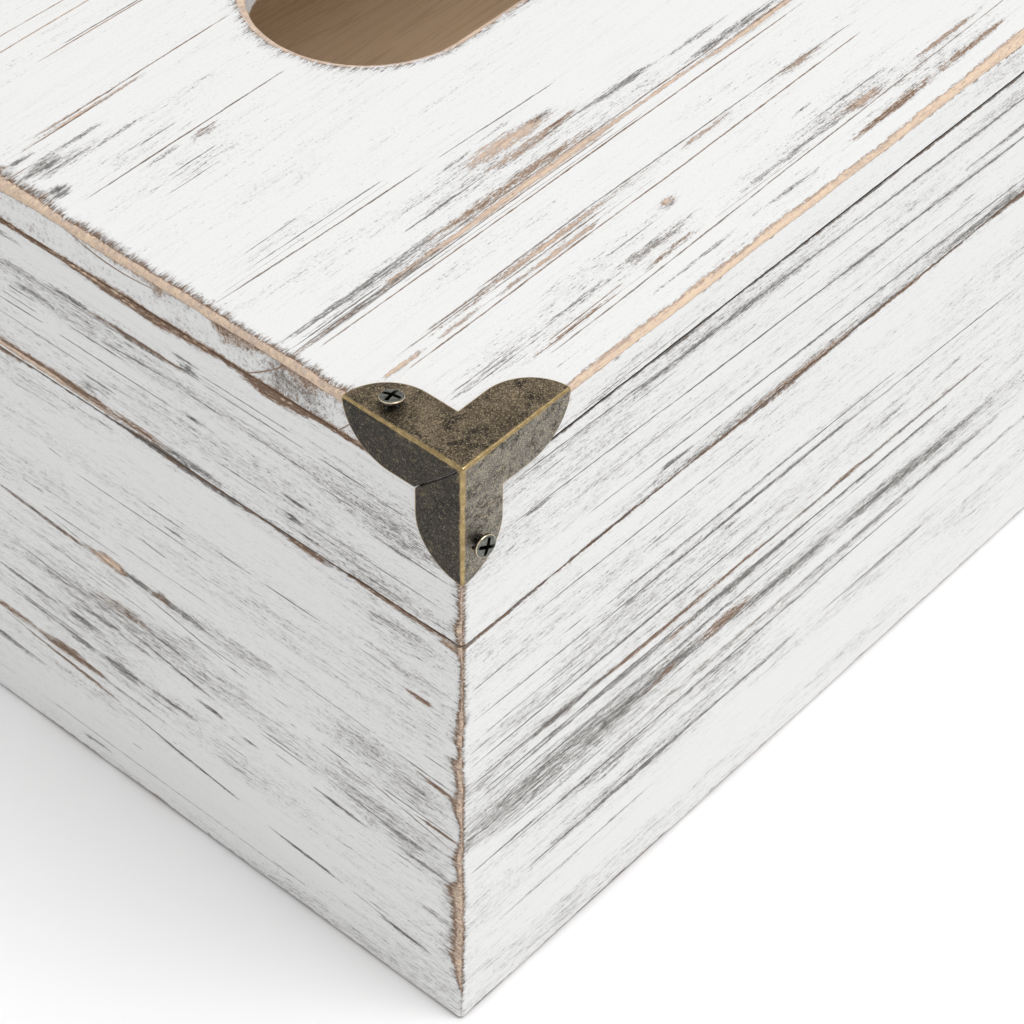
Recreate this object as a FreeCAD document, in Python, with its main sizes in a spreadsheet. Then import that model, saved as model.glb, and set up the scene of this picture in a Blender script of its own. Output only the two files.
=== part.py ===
import FreeCAD, Part
import os
import Sketcher
from FreeCAD import Placement, Rotation, Vector

# Wooden tissue box with a drawer.
#
# Row frame, millimetres: the origin is on the ground, in the middle of the case's
# footprint. +Z is up, +X points out of the drawer, and +Y is to the right of
# someone who faces the box from behind it. "Left" and "right" are as seen by the
# one who faces the drawer and looks along -X, so the left side is at -Y.
#
# The case is a frame of mitred boards, each wall made of an upper and a lower
# plank glued edge to edge, with a lapped top board that has the tissue slot.
# At the drawer's end the lower plank is the drawer front.

doc = FreeCAD.newDocument("tissue_box_with_drawer")

# ---------------------------------------------------------------- dimensions
DIMENSIONS = [
    ("box_length", 266.0, "case, outside, along X"),
    ("box_width", 160.0, "case, outside, along Y"),
    ("box_height", 115.0, "ground to the top board's upper face"),
    ("board", 7.0, "thickness of the case's boards"),
    ("joint_height", 82.0, "ground to the glue joint between the planks"),
    ("joint_gap", 0.2, "open seam between planks and under the top board"),
    ("base_thick", 5.0, "bottom panel"),
    ("edge_ease", 0.8, "radius on the worn outer arrises"),
    ("slot_width", 36.4, "tissue slot, across"),
    ("slot_length", 166.6, "tissue slot, end to end"),
    ("slot_ease", 1.3, "radius on the slot's upper edge"),
    ("strip_thick", 6.0, "guide strip, across"),
    ("strip_low", 76.0, "guide strip's lower face above ground"),
    ("strip_high", 90.0, "guide strip's upper face above ground"),
    ("drawer_gap", 1.0, "drawer to case, each side"),
    ("drawer_float", 0.5, "drawer to bottom panel"),
    ("front_top_gap", 0.9, "drawer front to the rail above it"),
    ("drawer_side", 6.0, "thickness of the drawer's sides and back"),
    ("drawer_side_top", 74.5, "top of the drawer's sides above ground"),
    ("drawer_back_gap", 1.5, "drawer back to the case's back wall when shut"),
    ("drawer_floor", 4.0, "drawer bottom"),
    ("leg", 21.0, "bracket leg, outer corner to tip"),
    ("petal", 7.9, "bracket petal, across"),
    ("sheet_thick", 0.7, "bracket sheet"),
    ("fold_radius", 0.5, "outside radius of the bracket's folds"),
    ("slit", 0.3, "open slit in the bracket's end face"),
    ("hole_along", 14.8, "bracket corner to screw hole, along the leg"),
    ("hole_across", 2.9, "bracket corner to screw hole, across the leg"),
    ("hole_dia", 2.3, "bracket screw hole"),
    ("screw_dia", 1.8, "bracket screw shank"),
    ("screw_in", 7.0, "bracket screw, length below the sheet"),
    ("screw_stand", 1.0, "bracket screw head's underside above the sheet"),
    ("screw_head_dia", 3.5, "bracket screw head"),
    ("screw_head_high", 0.95, "bracket screw head, rim and dome"),
    ("recess_long", 2.1, "cross recess, tip to tip"),
    ("recess_wide", 0.45, "cross recess, arm"),
    ("recess_deep", 0.5, "cross recess, depth"),
    ("pin_dia", 1.2, "pins that hold the boards while the glue sets"),
    ("pin_long", 16.0, "pin length"),
    ("pin_set", 0.6, "pin head below the surface"),
    ("knob_dia", 20.0, "knob"),
    ("knob_stand", 19.0, "knob's crown in front of the drawer front"),
    ("knob_neck", 7.0, "knob's neck"),
    ("knob_foot", 12.0, "knob's foot"),
    ("knob_screw_dia", 4.0, "machine screw that holds the knob"),
    ("knob_screw_head", 8.0, "its head"),
    ("knob_screw_head_high", 2.4, "its head's height"),
    ("knob_bore_deep", 10.0, "thread depth in the knob"),
    ("knob_clear_dia", 4.4, "hole through the drawer front"),
]
sheet = doc.addObject("Spreadsheet::Sheet", "Dims")
sheet.set("A1", "name")
sheet.set("B1", "mm")
sheet.set("C1", "what it is")
for number, (alias, value, words) in enumerate(DIMENSIONS):
    row = number + 2
    sheet.set("A%d" % row, alias)
    sheet.set("B%d" % row, str(value))
    sheet.set("C%d" % row, words)
    sheet.setAlias("B%d" % row, alias)
doc.recompute()


class Size:
    """A length worked out from the sheet: its value now, and the words that bind it."""

    def __init__(self, value, words=None):
        self.value = float(value)
        self.words = words if words is not None else repr(float(value))

    def _join(self, other, sign, value):
        other = other if isinstance(other, Size) else Size(other)
        return Size(value(self.value, other.value), "(%s %s %s)" % (self.words, sign, other.words))

    def __add__(self, other):
        return self._join(other, "+", lambda a, b: a + b)

    def __sub__(self, other):
        return self._join(other, "-", lambda a, b: a - b)

    def __mul__(self, other):
        return self._join(other, "*", lambda a, b: a * b)

    def __truediv__(self, other):
        return self._join(other, "/", lambda a, b: a / b)

    def __neg__(self):
        return Size(-self.value, "(-1 * %s)" % self.words)


def dim(alias):
    return Size(sheet.get(alias), "Dims." + alias)


def size(value):
    return value if isinstance(value, Size) else Size(value)


LONG, WIDE, HIGH = dim("box_length"), dim("box_width"), dim("box_height")
BOARD, JOINT, SEAM = dim("board"), dim("joint_height"), dim("joint_gap")
BASE, EASE = dim("base_thick"), dim("edge_ease")
TOP_UNDER = HIGH - BOARD
OUT_X, OUT_Y = LONG / 2, WIDE / 2
IN_X, IN_Y = OUT_X - BOARD, OUT_Y - BOARD
LEG, PETAL, THICK = dim("leg"), dim("petal"), dim("sheet_thick")
HOLE_A, HOLE_B = dim("hole_along"), dim("hole_across")
FRONT_LOW = BASE + dim("drawer_float")
FRONT_TOP = JOINT - dim("front_top_gap")
DRAWER_HALF = IN_Y - dim("drawer_gap")
DRAWER_BACK = -IN_X + dim("drawer_back_gap")
SIDE = dim("drawer_side")
SIDE_TOP = dim("drawer_side_top")
FLOOR = dim("drawer_floor")
KNOB_Z = (FRONT_LOW + FRONT_TOP) / 2


# ---------------------------------------------------------------- small helpers
def bind(obj, path, length):
    """Ties a property to the sheet."""
    obj.setExpression(path, size(length).words)


def place(obj, x=0, y=0, z=0, turn=None):
    """Puts an object at a point given in sheet lengths, turned by a fixed rotation."""
    if turn is not None:
        obj.Placement = Placement(Vector(0, 0, 0), turn)
    for letter, length in (("x", x), ("y", y), ("z", z)):
        length = size(length)
        if length.words != "0.0":
            bind(obj, "Placement.Base." + letter, length)


def new_body(name, label=None):
    body = doc.addObject("PartDesign::Body", name)
    body.Label = label or name
    return body


def new_sketch(body, name, role):
    sketch = body.newObject("Sketcher::SketchObject", name)
    plane = [f for f in body.Origin.OriginFeatures if f.Role == role][0]
    sketch.AttachmentSupport = [(plane, "")]
    sketch.MapMode = "FlatFace"
    return sketch


def hold(sketch, geometry, point, x=None, y=None):
    """Fixes a sketch point at sheet lengths from the sketch's origin."""
    for kind, axis, length in (("DistanceX", -2, x), ("DistanceY", -1, y)):
        if length is None:
            continue
        length = size(length)
        if abs(length.value) < 1e-9:
            sketch.addConstraint(Sketcher.Constraint("PointOnObject", geometry, point, axis))
        else:
            at = sketch.addConstraint(Sketcher.Constraint(kind, -1, 1, geometry, point, length.value))
            sketch.setExpression("Constraints[%d]" % at, length.words)


def outline(sketch, corners):
    """A closed outline. Each corner is (x, y) or (x, y, (cx, cy, clockwise)): the
    third entry says that the edge which leaves this corner is an arc round (cx, cy)."""
    first = sketch.GeometryCount
    count = len(corners)
    spots = [Vector(size(c[0]).value, size(c[1]).value, 0) for c in corners]
    for i, corner in enumerate(corners):
        a, b = spots[i], spots[(i + 1) % count]
        if len(corner) == 3:
            cx, cy, clockwise = corner[2]
            centre = Vector(size(cx).value, size(cy).value, 0)
            start, end = (b, a) if clockwise else (a, b)
            turn0 = FreeCAD.Vector(1, 0, 0).getAngle(start - centre)
            turn0 = turn0 if (start - centre).y >= 0 else -turn0
            turn1 = FreeCAD.Vector(1, 0, 0).getAngle(end - centre)
            turn1 = turn1 if (end - centre).y >= 0 else -turn1
            ring = Part.Circle(centre, Vector(0, 0, 1), (a - centre).Length)
            sketch.addGeometry(Part.ArcOfCircle(ring, turn0, turn1), False)
        else:
            sketch.addGeometry(Part.LineSegment(a, b), False)
    starts = []
    for i, corner in enumerate(corners):
        clockwise = len(corner) == 3 and corner[2][2]
        starts.append((2, 1) if clockwise else (1, 2))
    for i in range(count):
        j = (i + 1) % count
        sketch.addConstraint(Sketcher.Constraint("Coincident", first + i, starts[i][1], first + j, starts[j][0]))
    for i, corner in enumerate(corners):
        hold(sketch, first + i, starts[i][0], corner[0], corner[1])
        if len(corner) == 3:
            a, b = spots[i], spots[(i + 1) % count]
            if abs((b - a).y) >= abs((b - a).x):
                hold(sketch, first + i, 3, x=corner[2][0])
            else:
                hold(sketch, first + i, 3, y=corner[2][1])


def ring(sketch, x, y, diameter):
    first = sketch.GeometryCount
    x, y, diameter = size(x), size(y), size(diameter)
    sketch.addGeometry(Part.Circle(Vector(x.value, y.value, 0), Vector(0, 0, 1), diameter.value / 2), False)
    hold(sketch, first, 3, x, y)
    at = sketch.addConstraint(Sketcher.Constraint("Radius", first, diameter.value / 2))
    sketch.setExpression("Constraints[%d]" % at, (diameter / 2).words)


def pad(body, sketch, name, length, reverse=False):
    feature = body.newObject("PartDesign::Pad", name)
    feature.Profile = sketch
    feature.Length = size(length).value
    bind(feature, "Length", length)
    feature.Reversed = reverse
    sketch.Visibility = False
    return feature


def pocket(body, sketch, name, length, reverse=False):
    """Cuts to a depth, and turns round if it pointed away from the solid."""
    doc.recompute()
    before = body.Shape.Volume
    feature = body.newObject("PartDesign::Pocket", name)
    feature.Profile = sketch
    feature.Length = size(length).value
    bind(feature, "Length", length)
    feature.Reversed = reverse
    sketch.Visibility = False
    doc.recompute()
    if before - body.Shape.Volume < 1e-6:
        feature.Reversed = not reverse
        doc.recompute()
    if before - body.Shape.Volume < 1e-6:
        raise RuntimeError("%s cuts nothing" % name)
    return feature


def revolve(body, sketch, name):
    """Turns a profile in the XZ plane about the Z axis."""
    feature = body.newObject("PartDesign::Revolution", name)
    feature.Profile = sketch
    feature.ReferenceAxis = (sketch, ["V_Axis"])
    feature.Angle = 360.0
    sketch.Visibility = False
    return feature


def ease(body, name, radius, wanted):
    """Rounds the body's edges that the test picks."""
    doc.recompute()
    picked = ["Edge%d" % (i + 1) for i, e in enumerate(body.Shape.Edges) if wanted(e)]
    if not picked:
        raise RuntimeError("%s finds no edge" % name)
    base = body.Tip
    feature = body.newObject("PartDesign::Fillet", name)
    feature.Base = (base, picked)
    feature.Radius = size(radius).value
    bind(feature, "Radius", radius)
    return feature


def box_of(edge):
    b = edge.BoundBox
    return b.XMin, b.YMin, b.ZMin, b.XMax, b.YMax, b.ZMax


def near(a, b, off=1e-4):
    return abs(a - b) < off


def cylinder(name, diameter, length, x, y, z, turn):
    """A round bar that starts at a point and runs along the turned Z axis."""
    obj = doc.addObject("Part::Cylinder", name)
    bind(obj, "Radius", size(diameter) / 2)
    bind(obj, "Height", length)
    place(obj, x, y, z, turn)
    return obj


def group(name, members):
    obj = doc.addObject("Part::Compound", name)
    obj.Links = members
    return obj


def drilled(base, name, tool):
    """The board with its bores cut. The result carries the label."""
    cut = doc.addObject("Part::Cut", name)
    base.Label = name + "_blank"
    cut.Base = base
    cut.Tool = tool
    cut.Label = name
    return cut


UP = Rotation()
DOWN = Rotation(Vector(1, 0, 0), 180)
TO_X = Rotation(Vector(0, 1, 0), 90)
FROM_X = Rotation(Vector(0, 1, 0), -90)
TO_Y = Rotation(Vector(1, 0, 0), -90)
FROM_Y = Rotation(Vector(1, 0, 0), 90)
parts = []

# ---------------------------------------------------------------- bores
# Pilot bores of the bracket screws and bores of the pins, in the row frame. Every
# board is cut by the same set, so a fastener that crosses a joint has room on
# both sides of it.
bores = []
SIGNS = [(-1, -1, "back_left"), (-1, 1, "back_right"), (1, -1, "front_left"), (1, 1, "front_right")]
SCREW_DEEP = dim("screw_in") - THICK
for sx, sy, corner in SIGNS:
    # Through the top board, down into the end wall.
    bores.append(cylinder("bore_top_" + corner, dim("screw_dia"), SCREW_DEEP,
                          (OUT_X - (HOLE_B - THICK)) * sx, (OUT_Y - (HOLE_A - THICK)) * sy, HIGH, DOWN))
    # Through the side plank, across the mitre.
    bores.append(cylinder("bore_side_" + corner, dim("screw_dia"), SCREW_DEEP,
                          (OUT_X - (HOLE_B - THICK)) * sx, OUT_Y * sy, HIGH - (HOLE_A - THICK),
                          TO_Y if sy < 0 else FROM_Y))

PIN, PIN_LONG, PIN_SET = dim("pin_dia"), dim("pin_long"), dim("pin_set")
pins = {"top_board_pins": [], "corner_pins": [], "bottom_panel_pins": []}


def pin(kind, name, x, y, z, turn, direction):
    """One pin, set below the surface, and its bore from the surface."""
    bores.append(cylinder("bore_" + name, PIN, PIN_LONG + PIN_SET, x, y, z, turn))
    dx, dy, dz = direction
    pins[kind].append(cylinder(name, PIN, PIN_LONG, size(x) + PIN_SET * dx, size(y) + PIN_SET * dy,
                               size(z) + PIN_SET * dz, turn))


for sy, side in ((-1, "left"), (1, "right")):
    for step in (-3, -1, 1, 3):
        pin("top_board_pins", "top_pin_%s_%d" % (side, step + 4), LONG * (step * 0.125), (OUT_Y - BOARD / 2) * sy, HIGH,
            DOWN, (0, 0, -1))
        pin("bottom_panel_pins", "base_pin_%s_%d" % (side, step + 4), LONG * (step * 0.125 + 0.04), OUT_Y * sy, BASE / 2,
            TO_Y if sy < 0 else FROM_Y, (0, -sy, 0))
    for sx, end in ((-1, "back"), (1, "front")):
        pin("top_board_pins", "top_pin_%s_%s" % (end, side), (OUT_X - BOARD / 2) * sx, WIDE * 0.2 * sy, HIGH,
            DOWN, (0, 0, -1))
    for level in (0.22, 0.5, 0.78):
        pin("corner_pins", "corner_pin_%s_%d" % (side, int(level * 100)), -(OUT_X - BOARD / 2), OUT_Y * sy, JOINT * level,
            TO_Y if sy < 0 else FROM_Y, (0, -sy, 0))
    for sx, end in ((-1, "back"), (1, "front")):
        pin("corner_pins", "corner_pin_%s_%s_high" % (end, side), (OUT_X - BOARD / 2) * sx, OUT_Y * sy, JOINT + 8.0,
            TO_Y if sy < 0 else FROM_Y, (0, -sy, 0))
    pin("bottom_panel_pins", "base_pin_back_%s" % side, -OUT_X, WIDE * 0.25 * sy, BASE / 2, TO_X, (1, 0, 0))
all_bores = group("case_bores", bores)

# ---------------------------------------------------------------- top board
# One board that laps over the walls, with a round-ended slot along its middle.
body = new_body("top_board_body")
sk = new_sketch(body, "top_outline", "XY_Plane")
outline(sk, [(0, 0), (LONG, 0), (LONG, WIDE), (0, WIDE)])
pad(body, sk, "top_pad", BOARD)
sk = new_sketch(body, "slot_outline", "XY_Plane")
slot_r = dim("slot_width") / 2
slot_a = dim("slot_length") / 2 - slot_r
mid_x, mid_y = LONG / 2, WIDE / 2
outline(sk, [
    (mid_x - slot_a, mid_y - slot_r),
    (mid_x + slot_a, mid_y - slot_r, (mid_x + slot_a, mid_y, False)),
    (mid_x + slot_a, mid_y + slot_r),
    (mid_x - slot_a, mid_y + slot_r, (mid_x - slot_a, mid_y, False)),
])
pocket(body, sk, "slot_pocket", BOARD, reverse=True)
thick_now = BOARD.value


def on_top(edge):
    b = box_of(edge)
    return near(b[2], thick_now) and near(b[5], thick_now)


def outer_top(edge):
    b = box_of(edge)
    return on_top(edge) and (near(b[0], 0) or near(b[3], LONG.value) or near(b[1], 0) or near(b[4], WIDE.value))


ease(body, "top_arris", EASE, outer_top)
doc.recompute()
ease(body, "slot_arris", dim("slot_ease"),
     lambda e: on_top(e) and 20 < box_of(e)[0] and box_of(e)[3] < LONG.value - 20 and 20 < box_of(e)[1] and box_of(e)[4] < WIDE.value - 20)
place(body, -OUT_X, -OUT_Y, TOP_UNDER)
parts.append(drilled(body, "top_board", all_bores))


# ---------------------------------------------------------------- wall planks
def plank(name, corners, low, high):
    """A board that stands on edge: its plan outline, raised from low to high."""
    body = new_body(name + "_body")
    sk = new_sketch(body, name + "_plan", "XY_Plane")
    outline(sk, corners)
    pad(body, sk, name + "_pad", size(high) - size(low))
    place(body, 0, 0, low)
    parts.append(drilled(body, name, all_bores))
    return body


UPPER_LOW, UPPER_HIGH = JOINT, TOP_UNDER - SEAM
LOWER_HIGH = JOINT - SEAM
for sy, side in ((-1, "left"), (1, "right")):
    both = [(-OUT_X, OUT_Y * sy), (OUT_X, OUT_Y * sy), (IN_X, IN_Y * sy), (-IN_X, IN_Y * sy)]
    # The lower plank is mitred at the back and cut square at the drawer's end.
    one = [(-OUT_X, OUT_Y * sy), (OUT_X, OUT_Y * sy), (OUT_X, IN_Y * sy), (-IN_X, IN_Y * sy)]
    plank(side + "_upper_plank", both, UPPER_LOW, UPPER_HIGH)
    plank(side + "_lower_plank", one, 0, LOWER_HIGH)
back = [(-OUT_X, -OUT_Y), (-OUT_X, OUT_Y), (-IN_X, IN_Y), (-IN_X, -IN_Y)]
plank("back_upper_plank", back, UPPER_LOW, UPPER_HIGH)
plank("back_lower_plank", back, 0, LOWER_HIGH)
front = [(OUT_X, -OUT_Y), (OUT_X, OUT_Y), (IN_X, IN_Y), (IN_X, -IN_Y)]
plank("front_rail", front, UPPER_LOW, UPPER_HIGH)

# The bottom panel sits between the walls and reaches the drawer front's plane.
plank("bottom_panel", [(-IN_X, -IN_Y), (OUT_X, -IN_Y), (OUT_X, IN_Y), (-IN_X, IN_Y)], 0, BASE)

# Strips glued inside along the planks' joint. They back the joint, and the
# drawer's sides run under them, so the drawer doesn't tip when it is out.
for sy, side in ((-1, "left"), (1, "right")):
    strip_in = IN_Y - dim("strip_thick")
    body = new_body(side + "_guide_strip")
    sk = new_sketch(body, side + "_strip_plan", "XY_Plane")
    outline(sk, [(-IN_X + 1.5, IN_Y * sy), (IN_X - 0.5, IN_Y * sy), (IN_X - 0.5, strip_in * sy), (-IN_X + 1.5, strip_in * sy)])
    pad(body, sk, side + "_strip_pad", dim("strip_high") - dim("strip_low"))
    ease(body, side + "_strip_ease", 1.0,
         lambda e: near(abs(box_of(e)[1]), strip_in.value) and near(box_of(e)[1], box_of(e)[4]) and near(box_of(e)[2], box_of(e)[5]))
    place(body, 0, 0, dim("strip_low"))
    parts.append(body)


# ---------------------------------------------------------------- corner brackets
# A folded sheet with three legs. Its frame: the box's corner is the origin, +x
# runs along the box's length, +y runs down the corner and +z along its width.
# The bracket is its own mirror image, so the same part turns onto all four corners.
def bracket(name, x, y, turn):
    body = new_body(name)
    # The outline that two legs share on one face: from the outer corner, each leg is
    # a straight part as wide as a petal, then a quarter circle to its tip.
    low = -THICK
    tip, straight, w = LEG - THICK, LEG - THICK - PETAL, PETAL - THICK
    faces = [(low, low), (tip, low, (straight, low, False)), (straight, w), (w, w),
             (w, straight, (low, straight, False)), (low, tip)]
    sk = new_sketch(body, name + "_top_face", "XZ_Plane")
    outline(sk, faces)
    pad(body, sk, name + "_top_sheet", THICK)
    sk = new_sketch(body, name + "_long_face", "XY_Plane")
    outline(sk, faces)
    pad(body, sk, name + "_long_sheet", THICK, reverse=True)
    # The end face is two petals with the slit between them.
    half = dim("slit") * 0.70711
    sk = new_sketch(body, name + "_end_face", "YZ_Plane")
    outline(sk, [(low + half, low), (tip, low, (straight, low, False)), (straight, w), (w + half, w)])
    outline(sk, [(low, low + half), (w, w + half), (w, straight, (low, straight, False)), (low, tip)])
    pad(body, sk, name + "_end_sheet", THICK, reverse=True)

    def fold(edge):
        b = box_of(edge)
        lo = low.value
        flat = [near(b[i], lo) and near(b[i + 3], lo) for i in range(3)]
        return sum(flat) == 2 and edge.Length > 15

    ease(body, name + "_folds", dim("fold_radius"), fold)
    sk = new_sketch(body, name + "_top_hole", "XZ_Plane")
    ring(sk, HOLE_B - THICK, HOLE_A - THICK, dim("hole_dia"))
    pocket(body, sk, name + "_top_hole_cut", THICK * 1.5, reverse=True)
    sk = new_sketch(body, name + "_long_hole", "XY_Plane")
    ring(sk, HOLE_B - THICK, HOLE_A - THICK, dim("hole_dia"))
    pocket(body, sk, name + "_long_hole_cut", THICK * 1.5)
    place(body, x, y, HIGH, turn)
    parts.append(body)


def frame_turn(ax, ay, az):
    """The rotation that carries x, y and z to these three directions."""
    m = FreeCAD.Matrix(ax[0], ay[0], az[0], 0, ax[1], ay[1], az[1], 0, ax[2], ay[2], az[2], 0, 0, 0, 0, 1)
    return Rotation(m)


# At two corners the frame is right-handed as described, at the other two the legs
# that run down and across change places.
TURNS = {
    "back_left": frame_turn((1, 0, 0), (0, 0, -1), (0, 1, 0)),
    "front_right": frame_turn((-1, 0, 0), (0, 0, -1), (0, -1, 0)),
    "back_right": frame_turn((1, 0, 0), (0, -1, 0), (0, 0, -1)),
    "front_left": frame_turn((-1, 0, 0), (0, 1, 0), (0, 0, -1)),
}
for sx, sy, corner in SIGNS:
    bracket("corner_bracket_" + corner, OUT_X * sx, OUT_Y * sy, TURNS[corner])

# ---------------------------------------------------------------- bracket screws
# A small wood screw with a low pan head and a cross recess. Its frame: the
# sheet's outer face is z = 0 and the head is above it. The heads stand a little
# off the sheet, as they do on the real box.
STAND, HEAD_R = dim("screw_stand"), dim("screw_head_dia") / 2
HEAD_TOP = STAND + dim("screw_head_high")
SHANK_R = dim("screw_dia") / 2


def screw(name, x, y, z, turn):
    body = new_body(name)
    sk = new_sketch(body, name + "_profile", "XZ_Plane")
    deep = -dim("screw_in")
    outline(sk, [
        (0, deep), (SHANK_R, deep + 1.6), (SHANK_R, STAND), (HEAD_R - 0.1, STAND), (HEAD_R, STAND + 0.1),
        (HEAD_R, STAND + 0.4), (HEAD_R - 0.3, HEAD_TOP - 0.15), (HEAD_R - 0.75, HEAD_TOP), (0, HEAD_TOP),
    ])
    revolve(body, sk, name + "_turned")
    sk = new_sketch(body, name + "_recess", "XY_Plane")
    sk.AttachmentOffset = Placement(Vector(0, 0, HEAD_TOP.value), Rotation())
    sk.setExpression("AttachmentOffset.Base.z", HEAD_TOP.words)
    a, b = dim("recess_long") / 2, dim("recess_wide") / 2
    outline(sk, [(-a, -b), (-b, -b), (-b, -a), (b, -a), (b, -b), (a, -b), (a, b), (b, b), (b, a), (-b, a), (-b, b), (-a, b)])
    pocket(body, sk, name + "_recess_cut", dim("recess_deep"))
    place(body, x, y, z, turn)
    return body


screws = []
for sx, sy, corner in SIGNS:
    hx = (OUT_X - (HOLE_B - THICK)) * sx
    screws.append(screw("screw_top_" + corner, hx, (OUT_Y - (HOLE_A - THICK)) * sy, HIGH + THICK, UP))
    screws.append(screw("screw_side_" + corner, hx, (OUT_Y + THICK) * sy, HIGH - (HOLE_A - THICK),
                        FROM_Y if sy < 0 else TO_Y))
bracket_screws = group("bracket_screws", screws)
parts.append(bracket_screws)

for kind in ("top_board_pins", "corner_pins", "bottom_panel_pins"):
    parts.append(group(kind, pins[kind]))

# ---------------------------------------------------------------- drawer
drawer_bores, drawer_pins = [], []


def drawer_pin(name, x, y, z, turn, direction):
    drawer_bores.append(cylinder("bore_" + name, PIN, PIN_LONG + PIN_SET, x, y, z, turn))
    dx, dy, dz = direction
    drawer_pins.append(cylinder(name, PIN, PIN_LONG, size(x) + PIN_SET * dx, size(y) + PIN_SET * dy,
                                size(z) + PIN_SET * dz, turn))


SIDE_SPAN = SIDE_TOP - FRONT_LOW
for sy, side in ((-1, "left"), (1, "right")):
    turn = TO_Y if sy < 0 else FROM_Y
    mid = (DRAWER_HALF - SIDE / 2) * sy
    for level in (0.25, 0.75):
        drawer_pin("drawer_pin_back_%s_%d" % (side, int(level * 100)), DRAWER_BACK + SIDE / 2, DRAWER_HALF * sy,
                   FRONT_LOW + SIDE_SPAN * level, turn, (0, -sy, 0))
        drawer_pin("drawer_pin_front_%s_%d" % (side, int(level * 100)), OUT_X, mid,
                   FRONT_LOW + SIDE_SPAN * level, FROM_X, (-1, 0, 0))
    for step in (-0.3, 0.0, 0.3):
        drawer_pin("drawer_pin_floor_%s_%d" % (side, int(step * 10) + 5), LONG * step, DRAWER_HALF * sy,
                   FRONT_LOW + FLOOR / 2, turn, (0, -sy, 0))
drawer_bores.append(cylinder("bore_knob_screw", dim("knob_clear_dia"), BOARD, IN_X, 0, KNOB_Z, TO_X))
all_drawer_bores = group("drawer_bores", drawer_bores)


def panel(name, corners, low, high, eased=None):
    body = new_body(name + "_body")
    sk = new_sketch(body, name + "_plan", "XY_Plane")
    outline(sk, corners)
    pad(body, sk, name + "_pad", size(high) - size(low))
    if eased:
        ease(body, name + "_arris", EASE, eased)
    place(body, 0, 0, low)
    parts.append(drilled(body, name, all_drawer_bores))
    return body


def front_rim(edge):
    b = box_of(edge)
    return near(b[0], OUT_X.value) and near(b[3], OUT_X.value)


panel("drawer_front", [(IN_X, -DRAWER_HALF), (OUT_X, -DRAWER_HALF), (OUT_X, DRAWER_HALF), (IN_X, DRAWER_HALF)],
      FRONT_LOW, FRONT_TOP, eased=front_rim)
for sy, side in ((-1, "left"), (1, "right")):
    inner = (DRAWER_HALF - SIDE) * sy
    panel("drawer_%s_side" % side,
          [(DRAWER_BACK, DRAWER_HALF * sy), (IN_X, DRAWER_HALF * sy), (IN_X, inner), (DRAWER_BACK, inner)],
          FRONT_LOW, SIDE_TOP)
half_in = DRAWER_HALF - SIDE
panel("drawer_back", [(DRAWER_BACK, -half_in), (DRAWER_BACK + SIDE, -half_in), (DRAWER_BACK + SIDE, half_in), (DRAWER_BACK, half_in)],
      FRONT_LOW, SIDE_TOP)
panel("drawer_bottom", [(DRAWER_BACK + SIDE, -half_in), (IN_X, -half_in), (IN_X, half_in), (DRAWER_BACK + SIDE, half_in)],
      FRONT_LOW, FRONT_LOW + FLOOR)
parts.append(group("drawer_pins", drawer_pins))

# The knob, turned, with a foot, a neck and a flattened crown. Its axis is Z here.
body = new_body("drawer_knob")
sk = new_sketch(body, "knob_profile", "XZ_Plane")
kr, foot, neck, stand = dim("knob_dia") / 2, dim("knob_foot") / 2, dim("knob_neck") / 2, dim("knob_stand")
bore_r, bore_deep = dim("knob_screw_dia") / 2, dim("knob_bore_deep")
outline(sk, [
    (bore_r, 0), (foot, 0), (foot, 1.2), (foot - 0.8, 2.0), (neck + 0.6, 3.4), (neck, 5.5), (neck + 0.3, 8.0),
    (neck + 1.6, 10.0), (kr - 1.6, 11.6), (kr - 0.3, 12.8), (kr, 14.2), (kr - 0.5, 15.7), (kr - 2.2, 17.3),
    (kr - 5.0, stand - 0.5), (kr - 8.0, stand - 0.1), (0, stand), (0, bore_deep), (bore_r, bore_deep),
])
revolve(body, sk, "knob_turned")
place(body, OUT_X, 0, KNOB_Z, TO_X)
parts.append(body)

# Its machine screw, from inside the drawer.
body = new_body("knob_screw")
sk = new_sketch(body, "knob_screw_profile", "XZ_Plane")
sr, hr, hh = dim("knob_screw_dia") / 2, dim("knob_screw_head") / 2, dim("knob_screw_head_high")
reach = BOARD + bore_deep - 0.8
outline(sk, [
    (0, -hh), (hr - 1.8, -hh), (hr - 0.5, -hh + 0.6), (hr, -hh + 1.6), (hr, 0), (sr, 0), (sr, reach - 0.8), (sr - 0.8, reach), (0, reach),
])
revolve(body, sk, "knob_screw_turned")
sk = new_sketch(body, "knob_screw_recess", "XY_Plane")
sk.AttachmentOffset = Placement(Vector(0, 0, -hh.value), Rotation())
sk.setExpression("AttachmentOffset.Base.z", (-hh).words)
outline(sk, [(-2.2, -0.5), (-0.5, -0.5), (-0.5, -2.2), (0.5, -2.2), (0.5, -0.5), (2.2, -0.5), (2.2, 0.5), (0.5, 0.5),
             (0.5, 2.2), (-0.5, 2.2), (-0.5, 0.5), (-2.2, 0.5)])
pocket(body, sk, "knob_screw_recess_cut", 1.1, reverse=True)
place(body, IN_X, 0, KNOB_Z, TO_X)
parts.append(body)

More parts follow.
